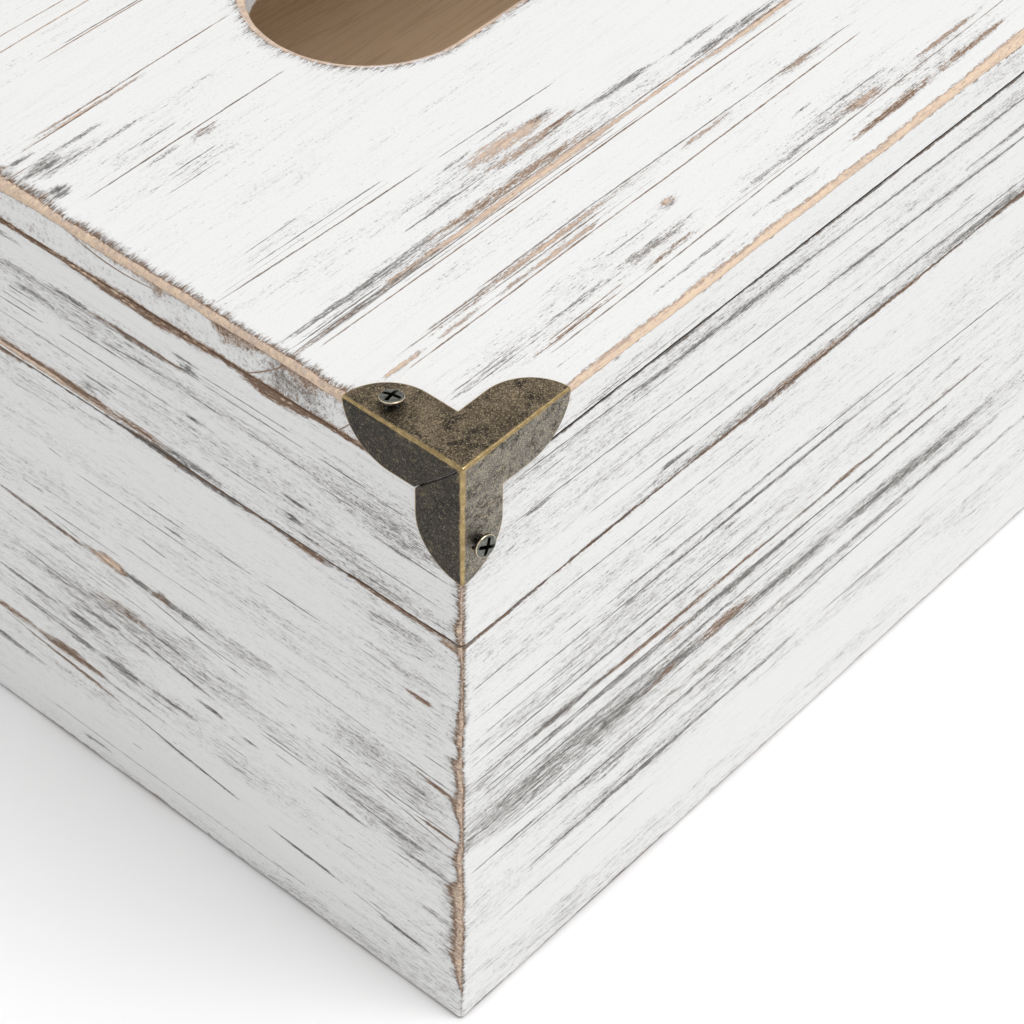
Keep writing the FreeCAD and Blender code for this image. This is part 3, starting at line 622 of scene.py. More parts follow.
def raw_wood(name, light=1.0, contrast=1.0, tint=(1.0, 1.0, 1.0)):
    """Unpainted softwood: early and late wood bands, fine pores, saw fuzz."""
    p = Paint(name)
    g = p.attribute("grain")

    def shade(r, gr, b, f=1.0):
        """A colour moved towards the pale wood by what the contrast leaves."""
        pale = (0.68, 0.50, 0.33)
        return tuple(min(0.95, light * t * (q + (v - q) * contrast * f)) for v, q, t in zip((r, gr, b), pale, tint))
    band = p.noise(g, (0.008, 0.16, 0.16), 2.0, 0.5, (5, 5, 5), 0.35)
    ring = p.math("FRACT", p.times(band, 11.0))
    late = p.step(ring, 0.55, 0.93)
    late = p.times(late, p.step(ring, 0.93, 1.0, 1.0, 0.0))
    fibre = p.noise(g, (0.30, 4.2, 4.2), 2.0, 0.6)
    strand = p.noise(g, (0.045, 1.2, 1.2), 3.0, 0.55, (1, 2, 9))
    broad = p.noise(g, (0.02, 0.05, 0.05), 2.0, 0.5, (7, 0, 2))
    colour = p.mix(p.step(broad, 0.35, 0.65), shade(0.64, 0.455, 0.285), shade(0.72, 0.545, 0.37))
    colour = p.mix(p.times(late, 0.62), colour, shade(0.42, 0.25, 0.135))
    colour = p.mix(p.step(strand, 0.50, 0.75, 0.0, 0.35), colour, shade(0.50, 0.33, 0.20))
    colour = p.mix(p.step(fibre, 0.60, 0.78, 0.0, 0.40), colour, shade(0.33, 0.20, 0.115))
    rough = p.add(0.72, p.off(fibre, 0.2), p.times(late, -0.1))
    height = p.add(p.off(fibre, 0.8), p.off(strand, 0.8), p.times(late, 0.3))
    return p.done(colour, rough, p.bump(height, 0.00010, 0.7), specular=0.3)


def old_brass(name, screws=False):
    """Darkened brass: mottled patina, rubbed to gold along folds and cut edges; along the rounded folds the gold is
    also a painted highlight.
    grain holds the distances from the bracket's three outer faces, state.x the nearness of a cut edge,
    state.y which way the face looks, which picks a painted reflection for each face (near-black as in shade on the end
    face, brown on the top, grey on the side), and state.z extra rubbing, with the folds' painted highlight."""
    p = Paint(name)
    g = p.attribute("grain")
    rim, tone, rub_and_highlight = p.split(p.attribute("state"))
    mottle = p.noise(g, (0.28, 0.28, 0.28), 4.0, 0.62, (2, 7, 1), 0.4)
    grit = p.noise(g, (5.5, 5.5, 5.5), 2.0, 0.65)
    cloud = p.noise(g, (0.9, 0.9, 0.9), 3.0, 0.6, (5, 1, 8), 0.6)
    blotch = p.noise(g, (0.42, 0.42, 0.42), 4.0, 0.65, (15, 21, 4), 0.8)
    scratch = p.noise(g, (7.0, 1.0, 1.6), 2.0, 0.6, (0, 3, 9), 0.8)
    other = p.noise(g, (1.2, 6.5, 1.4), 2.0, 0.6, (6, 3, 2), 0.8)
    marks = p.math("MAXIMUM", p.step(scratch, 0.64, 0.72), p.step(other, 0.65, 0.73))
    # Painted reflection by face: state.y picks a brown copy for the top, a grey one for the side and a near-black one
    # for the end face, which is painted as in shade.
    brown = p.mix(p.step(mottle, 0.30, 0.70), (0.100, 0.077, 0.052), (0.230, 0.182, 0.125))
    grey = p.mix(p.step(mottle, 0.30, 0.70), (0.135, 0.128, 0.115), (0.300, 0.280, 0.240))
    end_face_painted_shade = p.mix(p.step(mottle, 0.30, 0.70), (0.011, 0.010, 0.009), (0.050, 0.043, 0.034))
    base = p.mix(p.step(tone, 0.5, 1.0), p.mix(p.step(tone, 0.0, 0.5), end_face_painted_shade, brown), grey)
    base = p.mix(p.step(blotch, 0.50, 0.62, 0.0, 0.80), base, (0.030, 0.026, 0.022))
    base = p.mix(p.step(cloud, 0.55, 0.70, 0.0, 0.55), base, (0.035, 0.030, 0.025))
    base = p.mix(p.step(cloud, 0.28, 0.44, 0.32, 0.0), base, (0.30, 0.235, 0.135))
    # Light flecks, fewer on the end face: part of the same painted reflection by face.
    base = p.mix(p.times(p.step(grit, 0.55, 0.67), p.step(tone, 0.0, 0.5, 0.24, 0.72)), base, (0.42, 0.36, 0.245))
    base = p.mix(p.step(grit, 0.30, 0.42, 0.5, 0.0), base, (0.022, 0.018, 0.014))
    base = p.mix(1.0, base, p.mix(p.step(grit, 0.34, 0.66), (0.64, 0.64, 0.66), (1.40, 1.35, 1.27)), "MULTIPLY")
    base = p.mix(p.times(marks, 0.40), base, (0.42, 0.36, 0.25))
    # Rubbed gold, which on the rounded folds and cut edges is also a painted highlight.
    gold = p.mix(p.step(cloud, 0.35, 0.62), (0.52, 0.385, 0.185), (0.34, 0.245, 0.115))
    gold = p.mix(p.step(grit, 0.55, 0.72, 0.0, 0.45), gold, (0.16, 0.105, 0.05))
    worn = p.add(rub_and_highlight, p.off(cloud, 0.45), p.off(grit, 0.35), p.off(mottle, 0.35))
    colour = p.mix(p.step(worn, 0.38, 0.78), base, gold)
    edge = p.add(rim, p.off(cloud, 0.8), p.off(grit, 0.4))
    colour = p.mix(p.step(edge, 0.62, 0.85, 0.0, 0.8), colour, gold)
    rough = p.add(p.step(worn, 0.4, 0.7, 0.46, 0.30), p.off(grit, 0.25), p.off(mottle, 0.2))
    height = p.add(p.off(grit, 0.5), p.off(cloud, 0.9), p.times(marks, -0.35))
    return p.done(colour, rough, p.bump(height, 0.00005, 0.6), metallic=0.88)


def zinc(name):
    """Bright zinc plate with fine turning marks."""
    p = Paint(name)
    where = p.node("ShaderNodeTexCoord").outputs["Object"]
    fine = p.noise(where, (2600, 900, 2600), 2.0, 0.6)
    cloud = p.noise(where, (300, 300, 300), 3.0, 0.6)
    colour = p.mix(p.step(cloud, 0.35, 0.68), (0.42, 0.42, 0.43), (0.66, 0.66, 0.65))
    colour = p.mix(p.step(fine, 0.60, 0.75, 0.0, 0.5), colour, (0.22, 0.21, 0.20))
    return p.done(colour, p.add(0.34, p.off(fine, 0.3)), p.bump(p.add(fine, cloud), 0.00002, 0.5), metallic=1.0)


PAINTED = whitewash("whitewash")
PAINTED_END = whitewash("whitewash_on_end_grain", True)
INSIDE = raw_wood("primed_wood_inside", 1.30, 0.22, (1.06, 1.33, 1.80))
RAW = raw_wood("raw_wood", 1.34, 0.42, (1.0, 1.10, 1.24))
RAW_PANEL = raw_wood("raw_wood_panel", 1.34, 0.35, (1.0, 1.10, 1.24))
BRASS = old_brass("old_brass")
ZINC = zinc("zinc_plate")
BOARD_MATERIALS = [PAINTED, INSIDE, PAINTED_END]


# ------------------------------------------------------------------ listed marks
# A place on the top is (y, x) in bracket legs from the near corner: y along the grain
# (row X), x across it (row Y). On the long side it is (y, z), on the end (x, z).
def X(y):
    return -APEX[0] + LEG * y


def Y(x):
    return -APEX[1] + LEG * x


def Z(z):
    return APEX[2] + LEG * z


def place(m, s_of, t_of, cracks=(), bands=(), spots=(), zones=()):
    """Listed marks: positions and lengths in bracket legs, half-widths of bands in mm."""
    for s0, t0, s1, t1, strength, tone in cracks:
        m.crack(s_of(s0), t_of(t0), s_of(s1), t_of(t1), strength, tone)
    for s0, t0, s1, t1, w, d, b in bands:
        m.band(s_of(s0), t_of(t0), s_of(s1), t_of(t1), w, d, b)
    for s, t, ls, lt, d, b in spots:
        m.spot(s_of(s), t_of(t), LEG * ls, LEG * lt, d, b)
    for s, t, ls, lt, d in zones:
        m.zone(s_of(s), t_of(t), LEG * ls, LEG * lt, d)


def top_marks():
    m = Marks(100, -0.36, 0.22)
    place(m, X, Y, cracks=(
        (1.0, 0.315, 6.3, 0.41, 0.75, 0.30), (1.05, 0.37, 2.0, 0.385, 0.85, 0.40), (1.1, 0.41, 2.1, 0.425, 0.7, 0.35),
        (4.3, 0.555, 5.0, 0.555, 0.9, 0.15), (3.1, 0.43, 4.3, 0.44, 0.6, 0.15), (0.4, 0.475, 1.25, 0.48, 0.6, 0.15),
        (0.4, 0.885, 5.3, 0.925, 0.85, 0.38), (0.45, 1.015, 1.5, 1.02, 0.7, 0.3), (1.2, 0.99, 2.7, 1.0, 0.8, 0.3),
        (1.2, 1.075, 2.7, 1.08, 0.8, 0.3), (2.1, 1.09, 5.3, 1.04, 0.75, 0.25), (0.7, 1.045, 1.7, 1.05, 0.6, 0.3),
        (0.08, 1.433, 5.3, 1.445, 0.85, 0.38), (0.05, 1.492, 1.9, 1.497, 1.0, 0.2), (0.05, 1.517, 1.6, 1.521, 0.9, 0.2),
        (0.05, 1.552, 1.1, 1.556, 0.9, 0.15), (1.5, 1.500, 3.4, 1.508, 0.8, 0.35), (1.2, 1.578, 4.6, 1.585, 0.75, 0.3),
        (4.2, 1.545, 5.4, 1.56, 0.8, 0.3), (0.1, 1.62, 1.6, 1.618, 0.9, 0.15), (0.1, 1.645, 1.5, 1.642, 0.9, 0.15),
        (1.3, 1.803, 2.4, 1.812, 0.95, 0.15), (2.4, 1.80, 3.9, 1.79, 0.55, 0.15), (0.05, 2.213, 2.2, 2.165, 0.95, 0.3),
        (1.9, 2.170, 3.4, 2.138, 0.75, 0.25), (0.5, 2.295, 2.0, 2.275, 0.6, 0.2), (0.15, 3.582, 2.35, 3.607, 0.95, 0.3),
        (0.05, 4.12, 0.35, 4.115, 0.95, 0.4), (0.2, 4.262, 1.55, 4.29, 0.95, 0.38), (0.4, 4.315, 2.5, 4.355, 0.8, 0.38),
        (0.35, 3.22, 1.4, 3.225, 0.6, 0.1), (0.7, 3.355, 1.4, 3.36, 0.65, 0.1), (0.9, 3.74, 1.3, 3.74, 0.7, 0.1),
        (0.35, 0.53, 1.2, 0.535, 0.5, 0.1), (2.0, 0.67, 2.9, 0.675, 0.45, 0.1), (0.2, 2.42, 1.3, 2.43, 0.35, 0.1),
    ), bands=(
        (2.1, 0.215, 2.95, 0.22, 0.30, 0.75, 0.15), (3.0, 0.222, 3.75, 0.222, 0.28, 0.70, 0.15),
        (4.2, 0.225, 5.2, 0.235, 0.75, 0.78, 0.45), (5.3, 0.26, 6.0, 0.265, 0.55, 0.80, 0.50),
        (1.0, 0.385, 2.0, 0.40, 0.40, 0.62, 0.50), (2.15, 0.40, 2.8, 0.41, 0.55, 0.72, 0.35), (3.0, 0.44, 4.9, 0.445, 0.45, 0.62, 0.2),
        (4.35, 0.445, 4.85, 0.447, 0.55, 0.85, 0.60), (5.25, 0.455, 6.0, 0.46, 0.40, 0.75, 0.55),
        (1.2, 0.515, 2.0, 0.515, 0.50, 0.66, 0.15), (2.1, 0.53, 2.85, 0.53, 0.60, 0.82, 0.25), (0.4, 0.50, 1.2, 0.505, 0.35, 0.50, 0.15),
        (0.3, 0.935, 0.72, 0.935, 0.40, 0.95, 0.70), (0.8, 0.94, 1.22, 0.94, 0.36, 0.90, 0.66), (1.35, 0.94, 1.7, 0.94, 0.26, 0.7, 0.6),
        (1.7, 0.935, 2.4, 0.94, 0.36, 0.95, 0.70), (1.2, 1.035, 2.65, 1.045, 0.62, 0.92, 0.60), (0.8, 1.0, 1.4, 1.0, 0.3, 0.6, 0.5),
        (2.6, 1.05, 3.2, 1.05, 0.30, 0.55, 0.3), (3.3, 1.02, 3.9, 1.025, 0.35, 0.72, 0.60), (4.35, 1.04, 4.9, 1.035, 0.60, 0.78, 0.58),
        (0.05, 1.50, 1.6, 1.515, 0.45, 0.75, 0.35), (0.9, 1.53, 1.8, 1.535, 0.35, 0.95, 0.60), (1.4, 1.537, 3.4, 1.548, 0.62, 1.35, 1.0),
        (2.9, 1.548, 4.3, 1.552, 0.36, 1.05, 0.85), (4.1, 1.53, 5.5, 1.545, 0.62, 0.95, 0.72),
        (0.1, 1.63, 1.7, 1.63, 0.45, 0.62, 0.15), (1.5, 1.625, 3.05, 1.618, 0.60, 0.92, 0.52), (4.15, 1.605, 5.2, 1.61, 0.75, 0.72, 0.15),
        (1.5, 1.807, 1.95, 1.808, 0.25, 0.85, 0.1), (3.2, 1.795, 4.0, 1.78, 0.50, 0.62, 0.1), (4.0, 1.75, 4.7, 1.74, 0.4, 0.5, 0.1),
        (0.2, 4.275, 1.5, 4.29, 0.30, 0.90, 0.70), (0.4, 4.325, 1.3, 4.335, 0.30, 0.85, 0.70), (0.95, 4.10, 0.2, 4.10, 0.35, 0.75, 0.12),
        (0.2, 3.96, 0.75, 3.965, 0.30, 0.65, 0.1), (0.8, 3.95, 1.1, 3.95, 0.25, 0.6, 0.1), (0.15, 4.2, 0.4, 4.205, 0.4, 0.75, 0.12),
    ), spots=(
        (2.72, 1.815, 0.42, 0.045, 0.80, 0.60), (3.0, 1.83, 0.22, 0.030, 0.72, 0.4), (2.52, 1.955, 0.38, 0.068, 0.80, 0.70), (2.75, 1.93, 0.28, 0.050, 0.74, 0.68),
        (2.95, 1.965, 0.2, 0.04, 0.62, 0.2), (2.25, 2.05, 0.16, 0.015, 0.8, 0.1), (2.7, 2.085, 0.2, 0.02, 0.66, 0.1), (1.215, 2.125, 0.055, 0.014, 1.2, 0.1),
        (1.35, 3.525, 0.15, 0.042, 0.98, 0.30), (0.98, 3.535, 0.22, 0.022, 0.7, 0.1), (2.845, 0.742, 0.045, 0.035, 1.1, 0.75), (2.80, 0.70, 0.07, 0.02, 0.8, 0.15),
        (4.14, 0.655, 0.03, 0.012, 1.0, 0.1), (4.22, 0.69, 0.02, 0.014, 1.0, 0.1), (4.16, 0.73, 0.02, 0.012, 0.9, 0.1), (2.35, 0.62, 0.02, 0.012, 1.1, 0.1),
        (0.22, 3.76, 0.10, 0.08, 0.85, 0.15), (0.32, 4.05, 0.22, 0.05, 0.85, 0.15), (0.52, 2.96, 0.014, 0.012, 1.0, 0.1),
    ), zones=(
        (1.6, 1.28, 1.1, 0.14, 0.48), (1.6, 0.5, 1.5, 0.15, 0.51), (3.4, 0.48, 1.4, 0.12, 0.36), (2.4, 0.7, 0.9, 0.1, 0.4), (4.6, 0.55, 0.8, 0.1, 0.3),
        (2.6, 1.03, 2.6, 0.1, 0.43), (2.5, 1.6, 2.5, 0.1, 0.51), (2.4, 1.88, 0.9, 0.24, 0.51), (0.9, 2.38, 0.7, 0.18, 0.33),
        (0.9, 3.33, 0.7, 0.2, 0.35), (0.8, 3.72, 0.8, 0.14, 0.4), (0.4, 4.05, 0.6, 0.2, 0.43), (1.2, 2, 1, 0.12, 0.2), (5.2, 0.35, 1, 0.2, 0.36),
        (1.3, 2.75, 0.6, 0.15, 0.2), (3.6, 1.75, 0.8, 0.1, 0.3), (0.9, 1.65, 0.9, 0.08, 0.3),
    ))
    m.cracks = [crack[:4] + (0.80 * crack[4], crack[5]) for crack in m.cracks]
    # The rest, out of the photo's view.
    scatter(m, 1101, X(0.4), X(3.6), Y(4.7), 79, 0, 0.5, 0.4, 0.2)
    scatter(m, 1102, X(6.3), 133, -79, -22, 0, 0.6, 0.7, 0.2)
    scatter(m, 1103, X(4.6), 133, 22, 79, 0, 0.5, 0.6, 0.2)
    scatter(m, 1104, 88, 133, -22, 22, 0, 0.6, 0.6, 0.2)
    return m


def side_marks(seed, near=True):
    """The long side. near: the one in the photo."""
    m = Marks(seed, -0.06, 0.28)
    if not near:
        for a, b in ((-133, -40), (-40, 50), (50, 133)):
            scatter(m, seed + int(a) + 300, a, b, 2, 107, -0.02, 1.0, 1.0)
        m.spot(20, 38, 70, 2.8, 0.8, 0.15, -0.02)
        m.spot(-40, 61, 45, 1.6, 0.72, 0.25, -0.02)
        return m
    place(m, X, Z, cracks=(
        (1.0, -0.31, 2.5, -0.30, 0.45, 0.15), (0.42, -0.464, 2.2, -0.515, 0.80, 0.12), (2.0, -0.515, 6.4, -0.635, 1.0, 0.15),
        (0.75, -0.606, 1.1, -0.606, 0.95, 0.12), (1.5, -0.62, 2.2, -0.625, 0.55, 0.12), (0.42, -0.833, 2.2, -0.89, 0.80, 0.15), (1.9, -0.885, 6.4, -1.03, 1.0, 0.15),
        (1.2, -1.09, 2.8, -1.11, 0.50, 0.12), (1.1, -1.30, 1.8, -1.315, 0.6, 0.12), (1.6, -1.318, 6.4, -1.47, 1.0, 0.15),
        (0.6, -1.825, 3.2, -1.90, 0.75, 0.15), (0.08, -2.085, 0.78, -2.088, 0.6, 0.1), (1.86, -2.097, 2.4, -2.10, 1.0, 0.12), (3.05, -2.10, 3.25, -2.10, 0.8, 0.1), (4.0, -2.12, 4.25, -2.125, 0.8, 0.1),
        (0.80, -2.20, 1.06, -2.205, 0.95, 0.12), (1.0, -2.262, 1.3, -2.265, 0.8, 0.12), (1.45, -2.335, 5.0, -2.42, 0.85, 0.12), (0.05, -2.385, 1.6, -2.43, 0.75, 0.12),
        (1.25, -2.465, 4.4, -2.53, 1.0, 0.15), (4.0, -2.52, 6.4, -2.61, 0.8, 0.12), (1.0, -2.70, 1.3, -2.70, 0.8, 0.1), (0.05, -2.69, 0.4, -2.69, 0.6, 0.1),
        (0.05, -2.83, 3.5, -2.875, 0.95, 0.12), (0.05, -3.02, 1.0, -3.03, 0.9, 0.15), (0.8, -3.045, 6.2, -3.16, 1.0, 0.30),
        (0.05, -3.165, 2.6, -3.20, 0.95, 0.12), (0.05, -3.225, 2.4, -3.22, 0.75, 0.12), (2.2, -3.23, 5.8, -3.30, 1.0, 0.15), (0.5, -3.39, 2.1, -3.395, 0.75, 0.1),
        (1.7, -3.41, 3.9, -3.44, 0.9, 0.12), (0.2, -3.58, 1.8, -3.585, 0.8, 0.1), (1.2, -3.60, 4.1, -3.63, 0.9, 0.12), (0.05, -3.94, 0.85, -3.95, 0.9, 0.1),
        (0.35, -3.99, 5.4, -4.065, 0.85, 0.12), (0.3, -3.70, 1.6, -3.72, 0.5, 0.1), (0.3, -3.80, 1.9, -3.82, 0.5, 0.1), (0.55, -4.425, 3.8, -4.46, 0.95, 0.12), (1.0, -4.34, 2.3, -4.35, 0.7, 0.1),
        (3.9, -4.46, 5.8, -4.52, 0.7, 0.1), (0.3, -4.73, 2.2, -4.735, 0.6, 0.1), (0.05, -2.60, 1.6, -2.62, 0.45, 0.1), (0.1, -2.76, 1.9, -2.78, 0.5, 0.1), (1.5, -2.76, 3.2, -2.79, 0.45, 0.1),
        (0.05, -3.31, 1.3, -3.32, 0.5, 0.1), (0.05, -3.47, 1.1, -3.48, 0.5, 0.1), (3.0, -3.34, 5.2, -3.38, 0.4, 0.1), (2.2, -0.70, 4.6, -0.76, 0.35, 0.1), (3.0, -1.18, 5.8, -1.25, 0.35, 0.1),
    ), bands=(
        (1.65, -0.52, 2.1, -0.525, 0.35, 0.75, 0.1), (2.05, -0.525, 2.6, -0.53, 0.45, 0.85, 0.12), (2.4, -0.53, 3.8, -0.56, 0.42, 0.88, 0.15), (3.6, -0.57, 6.4, -0.635, 0.40, 0.62, 0.12),
        (0.65, -0.862, 0.88, -0.862, 0.35, 0.9, 0.1), (3.4, -0.93, 6.4, -1.03, 0.40, 0.62, 0.12), (2.4, -1.35, 6.2, -1.46, 0.30, 0.55, 0.12), (4.3, -0.80, 5.2, -0.82, 0.8, 0.35, 0.1),
        (1.7, -1.575, 6.4, -1.555, 0.85, 0.66, 0.20), (2.7, -1.58, 4.3, -1.575, 0.50, 0.80, 0.45), (5.0, -1.55, 6.4, -1.54, 0.6, 0.75, 0.12), (1.5, -2.35, 3.8, -2.385, 0.35, 0.62, 0.1),
        (1.65, -2.48, 1.95, -2.50, 0.55, 0.95, 0.12), (1.9, -2.465, 4.4, -2.525, 0.42, 0.90, 0.15), (1.1, -2.838, 2.7, -2.86, 0.32, 0.80, 0.1), (4.6, -2.865, 5.0, -2.865, 0.5, 0.6, 0.1), (5.3, -2.87, 5.7, -2.87, 0.5, 0.6, 0.1),
        (0.7, -3.04, 1.7, -3.065, 0.75, 0.95, 0.15), (1.5, -3.07, 3.4, -3.10, 0.50, 1.10, 0.42), (3.2, -3.10, 6.3, -3.16, 0.45, 0.72, 0.22), (4.2, -3.10, 4.5, -3.12, 0.5, 0.9, 0.5),
        (0.5, -3.20, 2.5, -3.225, 0.60, 0.72, 0.12), (2.2, -3.235, 3.9, -3.265, 0.60, 1.00, 0.20), (3.9, -3.28, 5.8, -3.30, 0.50, 0.70, 0.12), (2.2, -3.245, 2.5, -3.25, 0.4, 0.95, 0.45),
        (0.6, -3.39, 2.0, -3.395, 0.40, 0.60, 0.1), (1.75, -3.41, 3.85, -3.44, 0.38, 0.80, 0.15), (1.2, -3.59, 1.75, -3.60, 0.6, 0.85, 0.1),
        (2.9, -3.63, 4.2, -3.66, 1.00, 0.90, 0.15), (3.9, -3.65, 6.4, -3.68, 0.80, 0.72, 0.12), (1.6, -3.87, 3.9, -3.90, 0.85, 0.60, 0.25), (3.6, -3.91, 6.4, -3.96, 0.75, 0.70, 0.12),
        (0.35, -3.945, 0.8, -3.95, 0.4, 0.80, 0.1), (1.0, -4.0, 2.0, -4.015, 0.45, 0.75, 0.1), (2.2, -4.03, 4.2, -4.05, 0.45, 0.62, 0.15), (1.45, -4.14, 1.75, -4.145, 0.4, 0.65, 0.1), (2.0, -4.13, 2.9, -4.15, 0.45, 0.6, 0.1),
        (1.0, -4.42, 3.0, -4.445, 0.60, 0.90, 0.12), (1.3, -4.42, 2.4, -4.435, 0.60, 1.00, 0.12), (1.0, -4.345, 2.35, -4.35, 0.45, 0.62, 0.1), (2.9, -4.44, 3.8, -4.45, 0.5, 0.6, 0.1), (4.4, -4.49, 5.8, -4.51, 0.45, 0.58, 0.1),
        (0.3, -4.73, 2.2, -4.735, 0.5, 0.48, 0.1),
    ), spots=(
        (0.5, -1.045, 0.05, 0.015, 0.9, 0.1), (2.12, -1.45, 0.05, 0.03, 0.95, 0.1), (2.27, -1.46, 0.04, 0.02, 0.95, 0.1), (2.35, -1.475, 0.03, 0.03, 0.95, 0.1),
        (1.98, -1.51, 0.03, 0.03, 0.8, 0.1), (1.75, -1.51, 0.03, 0.03, 0.8, 0.1), (2.58, -1.485, 0.03, 0.015, 0.8, 0.1),
        (2.2, -3.56, 0.75, 0.095, 0.92, 0.20), (2.85, -3.56, 0.4, 0.085, 1.0, 0.38), (2.2, -3.59, 0.22, 0.05, 1.0, 0.40), (1.3, -3.55, 0.9, 0.11, 0.62, 0.12), (0.6, -3.62, 0.6, 0.14, 0.50, 0.1),
        (5.2, -3.66, 0.8, 0.09, 0.70, 0.1), (4.8, -3.58, 0.4, 0.05, 0.55, 0.1), (1.7, -4.06, 0.7, 0.05, 0.55, 0.1), (2.85, -2.58, 0.12, 0.03, 0.7, 0.1), (1.6, -2.45, 0.3, 0.04, 0.6, 0.1),
        (5.3, -1.0, 0.4, 0.05, 0.4, 0.1), (5.5, -1.2, 0.15, 0.02, 0.6, 0.1),
    ), zones=(
        (2, -3.55, 2.6, 0.35, 0.42), (4.5, -3.65, 2.2, 0.2, 0.32), (1.5, -3.1, 2, 0.18, 0.28), (1.6, -2.7, 1.9, 0.16, 0.33), (2.2, -2.5, 1.4, 0.14, 0.32), (2.6, -4, 2.4, 0.18, 0.33),
        (1.8, -4.4, 1.4, 0.12, 0.28), (1.2, -2.15, 1.4, 0.12, 0.19), (1.8, -1.42, 0.9, 0.12, 0.17), (3, -0.5, 2.5, 0.12, 0.24), (4.6, -0.95, 1.6, 0.2, 0.21), (4.5, -1.5, 2, 0.1, 0.28),
        (0.6, -3.4, 0.8, 0.5, 0.17), (1.2, -1.2, 1.2, 0.25, 0.1), (1.4, -0.18, 1.2, 0.12, 0.12), (3, -4.9, 3.5, 0.35, -0.3), (4.6, -2.1, 1.8, 0.35, -0.15), (4.5, -4.25, 1.6, 0.15, -0.2),
    ))
    scatter(m, seed + 1, X(6.4), 60, 2, 107, -0.02, 1.0, 0.9)
    scatter(m, seed + 2, 60, 133, 2, 107, -0.02, 1.0, 0.9)
    m.spot(70, 45, 50, 2.2, 0.8, 0.15, -0.02)
    return m


